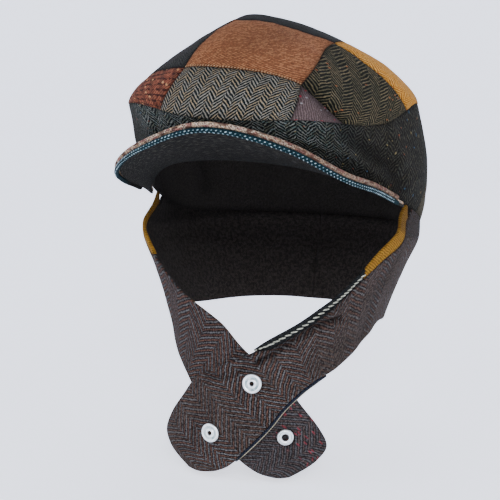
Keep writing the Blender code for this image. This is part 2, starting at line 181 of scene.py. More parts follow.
CROWN_COLUMNS = ("edge_reach", "edge_height", "bulge", "seam_reach", "seam_height", "full")
CROWN = (
    (1.00, 1.00, 0.00, 1.013, 0.93, 1.78),
    (0.97, 0.85, 0.22, 0.935, 1.02, 1.53),
    (0.94, 0.39, 0.56, 0.794, 0.94, 1.50),
    (1.00, -0.12, 0.85, 0.755, 0.975, 1.55),
    (1.10, -0.64, 0.65, 0.74, 0.87, 1.70),
    (1.13, -0.78, 0.75, 0.78, 0.76, 1.80),
    (1.13, -0.82, 0.80, 0.795, 0.73, 1.80),
)
# turns of the patches' corners on the seam above the band
RIM = {
    "front_right": -17.0, "front_left": 21.5,
    "brow_right": -66.0, "brow_left": 39.0,
    "ridge_right": -82.0, "ridge_left": 76.0,
    "rear_right": -120.0, "rear_left": 120.0,
    "nape_right": -161.0, "nape_left": 161.0,
}
# shares sideways and back of the corners over the top
TOP = {
    "a_right": (-0.146, -0.646),
    "a_left": (0.318, -0.608),
    "b_right": (-0.04, -0.20),
    "b_left": (0.405, -0.05),
    "c_right": (-0.30, 0.45),
    "c_left": (0.38, 0.45),
}


def mix(low, high, share):
    return low + (high - low) * share


def ease(share):
    share = min(max(share, 0.0), 1.0)
    return share * share * (3 - 2 * share)


def between(near, far, before, after, t):
    """Smooth value between near and far, from the values on either side of them."""
    line = (far - before) * t
    square = (2 * before - 5 * near + 4 * far - after) * t * t
    cube = (3 * near - before - 3 * far + after) * t ** 3
    return 0.5 * (2 * near + line + square + cube)


def at_row(rows, column, row, level_ends=True):
    """Value of one column between the rows of a table, level or straight past its ends."""
    last = len(rows) - 1
    row = min(max(row, 0.0), float(last))
    low = min(int(row), last - 1)
    near, far = rows[low][column], rows[low + 1][column]
    before = far if level_ends else 2 * near - far
    after = near if level_ends else 2 * far - near
    if low > 0:
        before = rows[low - 1][column]
    if low + 2 <= last:
        after = rows[low + 2][column]
    return between(near, far, before, after, row - low)


def outward(turn):
    """Level direction from the middle of the cap at a turn in degrees, 0 at the brow."""
    angle = math.radians(turn)
    return Vector((math.sin(angle), -math.cos(angle), 0.0))


def crown_value(name, turn):
    around = (turn + 180.0) % 360.0 - 180.0
    return at_row(CROWN, CROWN_COLUMNS.index(name), abs(around) / CROWN_STEP)


def crown_edge(turn, depth=0.0):
    """Point of the lower edge of the crown."""
    reach = crown_value("edge_reach", turn) * EDGE_REACH - depth
    return outward(turn) * reach + Vector((0, 0, crown_value("edge_height", turn) * EDGE_HEIGHT))


def crown_seam(turn, depth=0.0):
    """Point of the seam where the band meets the patches."""
    reach = crown_value("seam_reach", turn) * SEAM_REACH - depth
    around = abs((turn - SEAM_DIP_TURN + 180.0) % 360.0 - 180.0)
    dip = SEAM_DIP * ease(1 - around / SEAM_DIP_REACH)
    height = crown_value("seam_height", turn) * SEAM_HEIGHT - dip
    return outward(turn) * reach + Vector((0, 0, height))


def band_point(turn, share, depth):
    """Point of the band, from the lower edge (0) to the crown seam (1)."""
    bulge = crown_value("bulge", turn) * BAND_BULGE * math.sin(math.pi * share ** BULGE_LOW)
    return crown_edge(turn, depth).lerp(crown_seam(turn, depth), share) + outward(turn) * bulge


def dome_point(sideways, back, depth):
    """Point of the crown top by its two shares of the way from the apex to the seam."""
    reach = min(math.hypot(sideways, back), 1.0)
    turn = math.degrees(math.atan2(sideways, -back))
    seam = crown_seam(turn, depth)
    right = max(0.0, -math.sin(math.radians(turn) + FLAT_TURN))
    full = crown_value("full", turn) - FLAT_SIDE * right
    out = math.sin(reach * math.pi / 2) ** (2 / full)
    up = max(math.cos(reach * math.pi / 2), 0.0) ** (2 / full)
    x = mix(APEX_SIDE, seam.x, out)
    y = mix(-APEX_FRONT, seam.y, out)
    z = mix(seam.z, APEX_HEIGHT - depth, up) - CROWN_LEAN * x * (1 - reach ** 3)
    z -= SIDE_DROP * right * math.sin(math.pi * reach) ** 2
    return Vector((x, y, z))


def patch_corner(name):
    if name in TOP:
        return TOP[name]
    angle = math.radians(RIM[name])
    return math.sin(angle), -math.cos(angle)


def patch_edge(start, end, share):
    """Shares of a point on the edge between two named patch corners."""
    if start in RIM and end in RIM:
        way = (RIM[end] - RIM[start] + 180.0) % 360.0 - 180.0
        angle = math.radians(RIM[start] + way * share)
        return math.sin(angle), -math.cos(angle)
    low, high = patch_corner(start), patch_corner(end)
    return mix(low[0], high[0], share), mix(low[1], high[1], share)


def patch_shares(corners, a, b):
    """Shares inside a four-cornered patch, blended from its four edges."""
    c00, c10, c11, c01 = corners
    low, high = patch_edge(c00, c10, a), patch_edge(c01, c11, a)
    left, right = patch_edge(c00, c01, b), patch_edge(c10, c11, b)
    p00, p10, p11, p01 = (patch_corner(name) for name in corners)
    shares = []
    for k in (0, 1):
        edges = mix(low[k], high[k], b) + mix(left[k], right[k], a)
        shares.append(edges - mix(mix(p00[k], p10[k], a), mix(p01[k], p11[k], a), b))
    return shares


def fold_line(points, width, height):
    """Crease (height below 0) or ridge along a line of points, with the ball that holds it."""
    middle = sum(points, Vector()) / len(points)
    reach = max((point - middle).length for point in points) + 3 * width
    return list(zip(points, points[1:])), width, height, middle, reach


def fold_lift(point, folds):
    """Height of all folds at a point, each fading to nothing beside its line."""
    lift = 0.0
    for steps, width, height, middle, reach in folds:
        if (point - middle).length > reach:
            continue
        nearest = reach
        for start, end in steps:
            way = end - start
            share = min(max((point - start).dot(way) / way.length_squared, 0.0), 1.0)
            nearest = min(nearest, (point - start - way * share).length)
        lift += height * math.exp(-(nearest / width) ** 2)
    return lift


def crown_at(turn, level):
    """Point of the crown: level 0 to 1 up the band, 1 to 2 from the seam to the apex."""
    if level <= 1:
        return band_point(turn, level, 0.0)
    side, back = math.sin(math.radians(turn)), -math.cos(math.radians(turn))
    return dome_point(side * (2 - level), back * (2 - level), 0.0)


# turn and level of each point of a fold, then its width and height
CROWN_FOLDS = (
    (((30, 1.30), (34, 1.16), (40, 0.80), (47, 0.64), (56, 0.48), (66, 0.36), (78, 0.08)),
     6.5 * MM, -3.4 * MM),
    (((10, 0.62), (24, 0.52), (36, 0.42), (46, 0.34), (58, 0.20)), 4.5 * MM, 2.0 * MM),
    (((-30, 0.62), (-12, 0.66), (6, 0.66), (22, 0.72)), 8.0 * MM, 2.4 * MM),
    (((-18, 1.06), (-22, 0.80), (-28, 0.40)), 3.5 * MM, -2.0 * MM),
    (((62, 1.02), (66, 0.70), (72, 0.45)), 7.0 * MM, 1.6 * MM),
    (((96, 1.05), (104, 0.60), (110, 0.20)), 7.0 * MM, -1.6 * MM),
    (((-64, 0.90), (-72, 0.50), (-84, 0.15)), 6.0 * MM, -2.0 * MM),
    (((-118, 1.10), (-124, 0.60), (-128, 0.20)), 8.0 * MM, -1.8 * MM),
    (((150, 0.95), (156, 0.55), (160, 0.20)), 8.0 * MM, -1.6 * MM),
    (((4, 1.45), (16, 1.62), (40, 1.70)), 14.0 * MM, -1.4 * MM),
)
crown_folds = [
    fold_line([crown_at(*point) for point in points], width, height)
    for points, width, height in CROWN_FOLDS
]


def soft_waves(point, waves):
    """Height of the cloth's waves at a point, each of a height in mm and a pace."""
    return sum(height * noise.noise(point * pace) for height, pace in waves) * MM


def crown_lift(point):
    """How far the worn cloth stands out from the plain shape of the crown."""
    return soft_waves(point, CROWN_WAVES) + fold_lift(point, crown_folds)


def flat_chart(place, rows=36):
    """Flat cut of a panel from its two shares: chart in metres, width, length and area."""
    widths, lengths, area = [], [0.0], 0.0
    for k in range(rows + 1):
        line = [place(j / rows, k / rows, 0.0) for j in range(rows + 1)]
        widths.append(sum((q - p).length for p, q in zip(line, line[1:])))
        if k:
            lengths.append(lengths[-1] + (line[rows // 2] - last[rows // 2]).length)
            area += sum((line[j + 1] - last[j]).cross(line[j] - last[j + 1]).length / 2
                        for j in range(rows))
        last = line

    def chart(a, b):
        low = min(int(b * rows), rows - 1)
        width = mix(widths[low], widths[low + 1], b * rows - low)
        return (a - 0.5) * width, mix(lengths[low], lengths[low + 1], b * rows - low)

    return chart, max(widths), lengths[-1], area


STRIP_ROWS = 60


def strip_chart(place):
    """Flat cut of a strip that runs along its first share."""
    chart, width, length, area = flat_chart(lambda a, b, depth: place(b, a, depth), STRIP_ROWS)
    return lambda a, b: tuple(reversed(chart(b, a))), width, length, area


ROLL_TURN = (0.0, 0.10, 0.32, 0.64, 1.0)
ROLL_LIMIT = 0.2


def edge_stops(cells, roll):
    """Places of a panel's mesh lines, crowded where its edges roll under."""
    ends = [step * roll for step in ROLL_TURN]
    inside = cells - 2 * (len(ends) - 1)
    middle = [mix(roll, 1 - roll, k / inside) for k in range(1, inside)]
    return ends + middle + [1 - end for end in reversed(ends)]


def finished(name, bm, materials):
    """Piece with smooth faces that point outwards, riding on the cap."""
    bmesh.ops.remove_doubles(bm, verts=bm.verts, dist=WELD)
    bmesh.ops.recalc_face_normals(bm, faces=bm.faces)
    piece = put(name, smooth_mesh(name, bm))
    for material in materials:
        piece.data.materials.append(material)
    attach(piece, "root")
    return piece


def cloth_layer(bm, stops, place, chart, finish, painted_shade=None):
    """One face of a panel, with its flat chart kept for the weave and how deep each
    point lies in a seam or a crease kept for the painted shade that darkens it there."""
    cells = [len(line) - 1 for line in stops]
    made = bmesh.ops.create_grid(bm, x_segments=cells[0], y_segments=cells[1], size=0.5)["verts"]
    shares = {}
    for vert in made:
        a = stops[0][round((vert.co.x + 0.5) * cells[0])]
        b = stops[1][round((vert.co.y + 0.5) * cells[1])]
        shares[vert] = (a, b)
        vert.co = place(a, b)
    cloth, depths = bm.loops.layers.uv.verify(), bm.verts.layers.float.get("painted_shade")
    for vert in made:
        vert[depths] = painted_shade(*shares[vert]) if painted_shade else 0.0
    for face in {face for vert in made for face in vert.link_faces}:
        face.material_index = finish
        for loop in face.loops:
            loop[cloth].uv = chart(*shares[loop.vert])


def cloth_panel(name, cells, place, thick, materials, painted_shade, roll=0.5, size=None, strip=False):
    """Closed panel of cloth from place(a, b, depth), its raw edges rolled under, with
    its flat width and length and its area. A strip runs along its first share."""
    chart, width, length, area = strip_chart(place) if strip else flat_chart(place)
    size = size or ((length, width) if strip else (width, length))
    rolls = [min(thick * roll / span, ROLL_LIMIT) for span in size]
    stops = [edge_stops(count, roll) for count, roll in zip(cells, rolls)]
    bm = bmesh.new()
    bm.loops.layers.uv.new("cloth")
    bm.verts.layers.float.new("painted_shade")

    def sunk(a, b):
        turned = [max(0.0, 1 - min(s, 1 - s) / roll) for s, roll in zip((a, b), rolls)]
        return thick / 2 * (1 - math.sqrt(1 - min(math.hypot(*turned), 1.0) ** 2))

    cloth_layer(bm, stops, lambda a, b: place(a, b, sunk(a, b)), chart, 0, painted_shade)
    cloth_layer(bm, stops, lambda a, b: place(a, b, thick - sunk(a, b)), chart, 1, painted_shade)
    return finished(name, bm, materials), (width, length), min(area, width * length)


class Shade:
    """Socket of a material; a sum written with it adds the nodes that it needs."""

    def __init__(self, tree, socket=None):
        self.tree = tree
        self.socket = socket

    def node(self, kind, settings=(), values=(), out=0):
        made = self.tree.nodes.new("ShaderNode" + kind)
        for key, setting in dict(settings).items():
            setattr(made, key, setting)
        for key, value in dict(values).items():
            if isinstance(value, Shade):
                self.tree.links.new(value.socket, made.inputs[key])
            else:
                made.inputs[key].default_value = value
        return Shade(self.tree, made.outputs[out])

    def other(self, out):
        return Shade(self.tree, self.socket.node.outputs[out])

    def parts(self):
        """The first two values of a vector."""
        split = self.node("SeparateXYZ", {}, {0: self})
        return split, split.other(1)

    def noise(self, scale, detail=2.0, roughness=0.5, out=0, dimensions="2D"):
        values = {"Vector": self, "Scale": scale, "Detail": detail, "Roughness": roughness}
        return self.node("TexNoise", {"noise_dimensions": dimensions}, values, out)

    def spots(self, scale):
        """Distance from the middle of each spot, and a value for each spot."""
        values = {"Vector": self, "Scale": scale}
        distance = self.node("TexVoronoi", {"voronoi_dimensions": "2D"}, values)
        return distance, distance.other(1).parts()[0]

    def math(self, operation, *others):
        return self.node("Math", {"operation": operation}, enumerate((self, *others)))

    def __add__(self, other):
        return self.math("ADD", other)

    def __sub__(self, other):
        return self.math("SUBTRACT", other)

    def __rsub__(self, other):
        return self.math("MULTIPLY_ADD", -1.0, other)

    def __mul__(self, other):
        return self.math("MULTIPLY", other)

    def __truediv__(self, other):
        return self.math("DIVIDE", other)

    def __gt__(self, other):
        return self.math("GREATER_THAN", other)

    __radd__ = __add__
    __rmul__ = __mul__

    def between(self, low, high):
        """Smooth rise from 0 to 1 between two values."""
        limits = {"Value": self, "From Min": low, "From Max": high}
        return self.node("MapRange", {"interpolation_type": "SMOOTHSTEP"}, limits)

    def blend(self, low, high):
        """Colour between two colours, with this as the share of the second."""
        return self.node("Mix", {"data_type": "RGBA"}, {0: self, 6: low, 7: high}, 2)


DYE_DEPTH = 0.62
# how many times in each millimetre the cloth's noises change
DRIFT = 0.16
LOOSE = 0.9
FUZZ = 1.5
MOTTLE = 0.35
GRAIN = 0.7
SLOW = 0.035
# share of the colour taken away by painted shade where a point lies deepest in a seam or a crease
HOLLOW_SHADE = 0.6


def dye(red, green, blue):
    """Colour of a yarn from the red, green and blue that a screen shows in bright light."""
    parts = (((part / 255 + 0.055) / 1.055) ** 2.4 for part in (red, green, blue))
    return (*(DYE_DEPTH * part for part in parts), 1.0)


def wool(name, ground, strands, pitch, column=0.0, lean=1.0, line=0.5, soft=0.2,
         alternate=False, flecks=(), waver=0.8, fray=0.2, turned=0.0, nap=0.5, speckle=0.3,
         relief=0.35, extra=None):
    """Woven wool: slanting lines of strand yarn over a ground, in herringbone columns
    or as an even twill. Each of the two has a pair of colours. Lengths are in
    millimetres, and turned is in degrees."""
    material, tree, shader = new_material(name, {
        "Roughness": 0.92, "Specular IOR Level": 0.03, "Sheen Weight": 0.01, "Sheen Roughness": 0.6,
    })
    ground, strands = ([dye(*tint) for tint in pair] for pair in (ground, strands))
    cloth = Shade(tree).node("UVMap", {"uv_map": "cloth"})
    in_mm = {"Vector": cloth, "Rotation": (0, 0, math.radians(turned)), "Scale": (1000, 1000, 1000)}
    flat = cloth.node("Mapping", {}, in_mm)
    laid = flat
    for scale, share in ((DRIFT, 2 * waver), (LOOSE, 4 * fray)):
        moved = {0: flat.noise(scale, out=1), 1: (share,) * 3, 2: laid}
        laid = flat.node("VectorMath", {"operation": "MULTIPLY_ADD"}, moved)
    across, along = laid.parts()
    spacing = pitch * math.sqrt(1 + lean * lean)
    if column:
        turn_back = (across / (2 * column)).math("FRACT") > 0.5
        rise = along + across.math("PINGPONG", column) * lean + turn_back * (spacing / 2)
        place_in_row = (across / column).math("FLOOR")
    else:
        rise = along + across * lean
        place_in_row = (across / (1.5 * pitch)).math("FLOOR")
    count = rise / spacing
    ridge = (count.math("FRACT") - 0.5).math("ABSOLUTE") * 2
    lines = 1 - ridge.between(line - soft, line + soft)
    each = count.math("FLOOR")
    cell = each.node("CombineXYZ", {}, {0: each, 1: place_in_row})
    chance = cell.node("TexWhiteNoise", {"noise_dimensions": "2D"}, {"Vector": cell})
    fuzz, mottle = flat.noise(FUZZ, 3.0, 0.65), flat.noise(MOTTLE)
    grain, slow = flat.noise(GRAIN), flat.noise(SLOW)
    drawn = lines * (0.45 + mottle * 0.6 + chance * 0.2)
    if alternate:
        pick = (each / 2).math("FRACT") > 0.25
    else:
        pick = (chance * 0.5 + mottle).between(0.72, 0.86)
    strand = pick.blend(*strands)
    colour = drawn.blend(mottle.between(0.35, 0.65).blend(*ground), strand)
    if extra:
        colour = extra(flat, colour, drawn, mottle)
    for k, (tint, size, share) in enumerate(flecks):
        spots, chosen = laid.spots((0.31 + 0.04 * k) / size)
        spot = (1 - spots.between(0.20, 0.34)) * (chosen > 1 - share)
        colour = (spot * 0.85).blend(colour, dye(*tint))
    # painted shade: each point's colour darkens with the depth kept for it in seams, creases, under
    # the crown's edge, round the snaps and towards the root of the peak
    painted_shade = flat.node("Attribute", {"attribute_name": "painted_shade"}, {}, 2)
    light = 1.0 - nap / 2 + fuzz * (0.5 * nap) + chance * (0.3 * nap) + slow * (0.3 * nap)
    light = (light + (grain.between(0.35, 0.65) - 0.5) * speckle) * (1 - painted_shade * HOLLOW_SHADE)
    shaded = {0: 1.0, 6: colour, 7: light}
    colour = Shade(tree).node("Mix", {"data_type": "RGBA", "blend_type": "MULTIPLY"}, shaded, 2)
    beads = (across * (math.tau / (0.45 * pitch))).math("SINE") * 0.12
    height = drawn * (0.75 + chance * 0.25) + beads + fuzz * 0.55
    bumps = height.node("Bump", {}, {"Strength": 0.8, "Distance": relief * MM, "Height": height})
    tree.links.new(colour.socket, shader.inputs["Base Color"])
    tree.links.new(bumps.socket, shader.inputs["Normal"])
    return material


def check_lines(flat, colour, drawn, mottle):
    """Rust check crossed by broken black lines."""
    over = flat.node("SeparateXYZ", {}, {0: flat})
    lines = ((over.other(1) / 5.2).math("FRACT") - 0.5).math("ABSOLUTE") * 2
    bars = ((over / 11.0).math("FRACT") - 0.5).math("ABSOLUTE") * 2
    broken = mottle.between(0.38, 0.55)
    dark = (1 - lines.between(0.30, 0.52)) * broken * 0.85
    dull = (1 - bars.between(0.25, 0.45)) * 0.45
    return dull.blend(dark.blend(colour, dye(26, 22, 21)), dye(54, 36, 30))


inner_wool = wool(
    "inner_wool", ((40, 38, 37), (52, 49, 46)), ((62, 58, 54), (48, 45, 43)), 1.1, relief=0.15,
)
# each patch with its corners round it, its slot and its wool
PATCHES = (
    ("patch_front_right", ("front_right", "corner", "brow_right", "a_right"), "plaid_rust", wool(
        "wool_plaid_rust", ((112, 62, 46), (84, 46, 36)), ((156, 96, 70), (130, 70, 52)),
        1.7, lean=0.9, flecks=(((196, 146, 100), 1.2, 0.12),), extra=check_lines,
    )),
    ("patch_front_centre", ("front_right", "front_left", "a_left", "a_right"),
     "herringbone_cream", wool(
        "wool_herringbone_cream", ((20, 23, 23), (32, 35, 34)), ((156, 152, 140), (150, 134, 108)),
        2.05, column=5.7, line=0.35, soft=0.18, relief=0.5,
    )),
    ("patch_front_left", ("front_left", "corner", "brow_left", "a_left"), "twill_plum", wool(
        "wool_twill_plum", ((66, 54, 54), (78, 64, 63)), ((112, 96, 94), (98, 82, 82)),
        1.3, flecks=(((160, 40, 56), 0.9, 0.06), ((140, 138, 140), 0.8, 0.05)),
    )),
    ("patch_top_right", ("brow_right", "a_right", "b_right", "ridge_right"), "tweed_black", wool(
        "wool_tweed_black", ((28, 28, 27), (38, 38, 36)), ((58, 58, 55), (48, 47, 45)),
        1.6, column=4.2,
    )),
    ("patch_top_centre", ("a_right", "a_left", "b_left", "b_right"), "twill_brown", wool(
        "wool_twill_brown", ((98, 57, 36), (115, 69, 44)), ((162, 106, 70), (176, 123, 83)),
        1.75, lean=-1.1, line=0.48, fray=0.15, relief=0.4,
    )),
    ("patch_top_left", ("a_left", "brow_left", "ridge_left", "b_left"), "herringbone_green", wool(
        "wool_herringbone_green", ((18, 20, 17), (27, 27, 22)), ((96, 90, 68), (112, 100, 74)),
        2.3, column=7.5, lean=1.3, line=0.34, turned=-32.0, soft=0.18, relief=0.5,
        flecks=(((150, 88, 50), 0.9, 0.03),),
    )),
    ("patch_ridge_right", ("ridge_right", "b_right", "c_right", "rear_right"), "tweed_black", wool(
        "wool_dark_brown", ((46, 37, 33), (56, 46, 40)), ((76, 64, 56), (64, 54, 48)), 1.6,
    )),
    ("patch_ridge_centre", ("b_right", "b_left", "c_left", "c_right"), "tweed_black", wool(
        "wool_black", ((28, 28, 28), (36, 36, 35)), ((52, 52, 50), (44, 44, 43)), 1.4,
    )),
    ("patch_ridge_left", ("b_left", "ridge_left", "rear_left", "c_left"), "twill_mustard", wool(
        "wool_mustard", ((140, 84, 20), (160, 100, 28)), ((240, 186, 96), (216, 154, 60)),
        2.4, column=7.0, line=0.42, flecks=(((170, 82, 34), 1.0, 0.05),),
    )),
    ("patch_back_right", ("c_right", "rear_right", "corner", "nape_right"), "tweed_grey", wool(
        "wool_charcoal", ((48, 46, 44), (58, 55, 52)), ((84, 80, 76), (72, 68, 64)),
        1.8, column=6.0,
    )),
    ("patch_back_centre", ("c_right", "c_left", "nape_left", "nape_right"), "tweed_grey", wool(
        "wool_slate", ((50, 54, 60), (60, 64, 70)), ((96, 102, 110), (82, 86, 92)), 1.7,
    )),
    ("patch_back_left", ("c_left", "rear_left", "corner", "nape_left"), "tweed_grey", wool(
        "wool_umber", ((66, 48, 38), (78, 58, 46)), ((112, 88, 70), (98, 74, 58)), 2.0, column=6.4,
    )),
)
PATCH_CELLS = (56, 56)
PATCH_ROLL = 0.22
SEAM_PUFF = 0.7 * MM
SEAM_PULL = 0.45 * MM
SEAM_SWELL = 5 * MM
SEAM_FADE = 6 * MM
SEAM_PUCKERS = 190
# painted shade at the seams and in the creases: its strength, how far it spreads from a seam, and
# the crease depth at which it is full
SEAM_SHADE = 0.75
SEAM_SHADE_WIDTH = 1.7 * MM
CREASE_DEEP = 4 * MM


def seam_lift(point, edge):
    """Cloth pulled down and puckered at a seam, swelling a little away from it."""
    puff = SEAM_PUFF * (1 - math.exp(-edge / SEAM_SWELL))
    return puff + SEAM_PULL * noise.noise(point * SEAM_PUCKERS) * math.exp(-edge / SEAM_FADE)


def hollow_depth(edge, fold):
    """How deep a point lies in a seam or a crease, from 0 in the open to 1, for the painted shade
    there.
    """
    seam = SEAM_SHADE * math.exp(-(edge / SEAM_SHADE_WIDTH) ** 2)
    return min(1.0, seam + max(0.0, -fold) / CREASE_DEEP)


def build_patch(name, corners):
    """Places of one crown patch, with its length and its width in metres."""
    corners = list(corners)
    if "corner" in corners:
        at = corners.index("corner")
        before, after = corners[at - 1], corners[(at + 1) % 4]
        RIM[name] = (RIM[before] + RIM[after]) / 2
        corners[at] = name

    def span(start, end):
        ends = [dome_point(*patch_shares(corners, *at), 0) for at in (start, end)]
        return (ends[0] - ends[1]).length

    size = span((0, 0.5), (1, 0.5)), span((0.5, 0), (0.5, 1))

    @functools.cache
    def laid(a, b):
        ends = [SEAM_GAP / 2 / length for length in size]
        inset = [mix(ends[0], 1 - ends[0], a), mix(ends[1], 1 - ends[1], b)]
        shares = patch_shares(corners, *inset)
        plain = dome_point(*shares, 0.0)
        edge = min(min(a, 1 - a) * size[0], min(b, 1 - b) * size[1])
        # painted shade in the patch's seams and creases
        painted_shade = hollow_depth(edge, fold_lift(plain, crown_folds))
        return shares, crown_lift(plain) + seam_lift(plain, edge), painted_shade

    def place(a, b, depth):
        shares, lift, _ = laid(a, b)
        return dome_point(*shares, depth - lift)

    return place, size, lambda a, b: laid(a, b)[2]


patch_places = {}
for name, corners, slot, cloth in PATCHES:
    place, size, painted_shade = build_patch(name, corners)
    patch_places[name] = place
    piece, flat, area = cloth_panel(name + "_cloth", PATCH_CELLS, place, CROWN_CLOTH,
                                    (cloth, inner_wool), painted_shade, PATCH_ROLL, size)
    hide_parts(name)


# Stitches below the brown patch. A row of short beige whip stitches, 2 mm apart, holds
# the raw lower edge of the brown patch down on the herringbone in front of it.
STITCH_STEP = 2.0 * MM
STITCH_SIZE = Vector((0.75, 0.40, 0.35)) * MM
STITCH_LINE = 0.012
STITCH_LEAN = 0.5
STITCH_LIFT = 0.1 * MM


def thread_stitch(bm, place, along, above, size):
    """One rounded stitch, lying along a direction on the cloth."""
    across = above.cross(along).normalized()
    along = across.cross(above)
    turned = Matrix((along, across, above)).transposed().to_4x4()
    shape = Matrix.Translation(place) @ turned @ Matrix.Diagonal((*size, 1.0))
    bmesh.ops.create_uvsphere(bm, u_segments=8, v_segments=5, radius=1.0, matrix=shape)


def plain_yarn(name, *tints):
    """Yarn or thread: two close colours mottled together, with fine fibres."""
    material, tree, shader = new_material(name, {"Roughness": 0.85, "Specular IOR Level": 0.1})
    mottle = Shade(tree).node("TexCoord", out=3).noise(900.0, dimensions="3D")
    colour = mottle.between(0.35, 0.65).blend(*tints)
    bumps = mottle.node("Bump", {}, {"Strength": 0.6, "Distance": 0.2 * MM, "Height": mottle})
    tree.links.new(colour.socket, shader.inputs["Base Color"])
    tree.links.new(bumps.socket, shader.inputs["Normal"])
    return material


def on_brown(share, up=STITCH_LINE):
    return patch_places["patch_top_centre"](share, up, -STITCH_LIFT)


brown_edge = [on_brown(k / 200) for k in range(201)]
edge_length = sum((q - p).length for p, q in zip(brown_edge, brown_edge[1:]))
stitches = round(edge_length / STITCH_STEP)
bm = bmesh.new()
for k in range(stitches):
    share = (k + 0.5) / stitches
    here = on_brown(share)
    ahead = on_brown(min(share + 0.01, 1)) - here
    up_patch = on_brown(share, 0.04) - here
    above = ahead.cross(up_patch).normalized()
    way = up_patch.normalized() + STITCH_LEAN * ahead.normalized()
    thread_stitch(bm, here, way, above, STITCH_SIZE)
beige_thread = plain_yarn("beige_thread", dye(184, 152, 114), dye(150, 116, 84))
piece = finished("patch_stitches", bm, [beige_thread])


# Crown band. The side wall under the patches, 2.4 mm wool in two lengths joined behind
# the ears. In front it is a dark blue-black herringbone with white and teal yarns that
# rumples over the peak, and behind it is a plain olive tweed.
BAND_JOIN = 99.0
BAND_CELLS = (300, 40)
BAND_ROLL = 0.3
BAND_STILL = 12 * MM


def band_yarns(flat, colour, drawn, mottle):
    """White and teal yarns at the brow, fading to dull olive round the side, where painted shade
    darkens the ground.
    """
    side = flat.parts()[0].math("ABSOLUTE").between(40.0, 120.0)
    dull = mottle.between(0.4, 0.6).blend(dye(38, 36, 29), dye(64, 56, 42))
    # painted shade: the ground darkens round the side of the band
    shaded = (side * 0.8).blend(colour, dye(20, 18, 13))
    teal = mottle.between(0.52, 0.62).blend(shaded, dye(48, 92, 100))
    brow = (drawn * 0.5).blend(shaded, teal)
    return (side * drawn * 0.9).blend(brow, dull)


band_front_wool = wool(
    "wool_herringbone_blue", ((17, 20, 22), (27, 29, 29)), ((146, 150, 142), (104, 106, 90)),
    2.3, column=6.6, line=0.35, waver=1.6, fray=0.4, relief=0.55, extra=band_yarns,
    flecks=(((58, 98, 132), 0.7, 0.006), ((142, 72, 44), 0.7, 0.006), ((150, 134, 88), 0.7, 0.008)),
)
band_back_wool = wool(
    "wool_tweed_olive", ((44, 41, 33), (54, 50, 40)), ((84, 76, 56), (72, 66, 52)),
    1.8, column=6.0, waver=1.2, flecks=(((96, 76, 50), 0.7, 0.015),),
)


def build_band(name, start, end, material):
    """One length of the band, between two turns."""
    edge = crown_edge(start)
    margin = math.degrees(SEAM_GAP / 2 / math.hypot(edge.x, edge.y))
    deep = (crown_seam(0) - crown_edge(0)).length

    def up_band(turn, b):
        return b * (1.0 - SEAM_GAP / (crown_seam(turn) - crown_edge(turn)).length)

    @functools.cache
    def laid(a, b):
        turn = mix(start + margin, end - margin, a)
        plain = band_point(turn, up_band(turn, b), 0.0)
        low = ease(b * deep / BAND_STILL)
        edge = min(b, 1 - b) * deep
        # painted shade in the band's seams and creases
        painted_shade = hollow_depth(edge, fold_lift(plain, crown_folds))
        return turn, (crown_lift(plain) + seam_lift(plain, edge)) * low, painted_shade

    def place(a, b, depth):
        turn, lift, _ = laid(a, b)
        return band_point(turn, up_band(turn, b), depth - lift)

    piece, flat, area = cloth_panel(name + "_cloth", BAND_CELLS, place, CROWN_CLOTH,
                                    (material, inner_wool), lambda a, b: laid(a, b)[2], BAND_ROLL)
    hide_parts(name)


build_band("band_front", -BAND_JOIN, BAND_JOIN, band_front_wool)
build_band("band_back", BAND_JOIN, 360 - BAND_JOIN, band_back_wool)


# Peak. A soft brim up to 49 mm deep over the brow: a pink and cream cover, and a felted
# charcoal underside. Along its rim the cover is rolled over as a thin cord, with a row
# of teal and white binding sewn below it.
PEAK_CLOTH = 1.8 * MM
PEAK_REACH = 47 * MM
PEAK_END = 2 * MM
PEAK_TURN = 82.0
PEAK_SEAT = 0.8 * MM
PEAK_CELLS = (220, 36)
PEAK_WAVES = ((0.5, 40),)
PEAK_STILL = 14 * MM
ROLL_RADIUS = 1.8 * MM
ROLL_CELLS = (300, 20)
ROLL_SINK = 0.28
ROLL_UNEVEN = 0.06
ROLL_PACE = 300
# millimetres along the rim where the charcoal wrap ends, and where the yarns turn browner
WRAP_END = (24.0, 44.0)
RIM_BROWNER = (190.0, 270.0)
PEAK_COLUMNS = ("reach", "lift")
PEAK = (
    (0.00, 14),
    (0.37, 4),
    (0.71, 4),
    (0.94, 16),
    (1.05, 27),
    (0.98, 19),
    (0.60, 1),
    (0.15, 4),
    (0.00, 5),
)


def peak_value(name, share):
    return at_row(PEAK, PEAK_COLUMNS.index(name), share * (len(PEAK) - 1))


def peak_point(share, out, drop):
    """Point of the peak: share from the right end to the left, out from root to rim."""
    turn = mix(-PEAK_TURN, PEAK_TURN, share)
    reach = PEAK_END + peak_value("reach", share) * (PEAK_REACH - PEAK_END)
    lift = math.radians(peak_value("lift", share))
    along = outward(turn) + Vector((0, 0, math.tan(lift)))
    above = Vector((0, 0, math.cos(lift))) - outward(turn) * math.sin(lift)
    return crown_edge(turn) + along * (reach * out) - above * drop


def pink_mottle(flat, colour, drawn, mottle):
    """Cream, pink and brown ends of yarn, mixed finely along the rim."""
    lengths, grain = flat.noise(0.10, 4.0), flat.noise(0.8)
    pink = (lengths.between(0.50, 0.62) * 0.8).blend(colour, dye(142, 82, 82))
    brown = (1 - lengths.between(0.38, 0.48)).blend(pink, dye(96, 70, 58))
    return (grain.between(0.48, 0.58) * 0.85).blend(brown, dye(60, 44, 40))


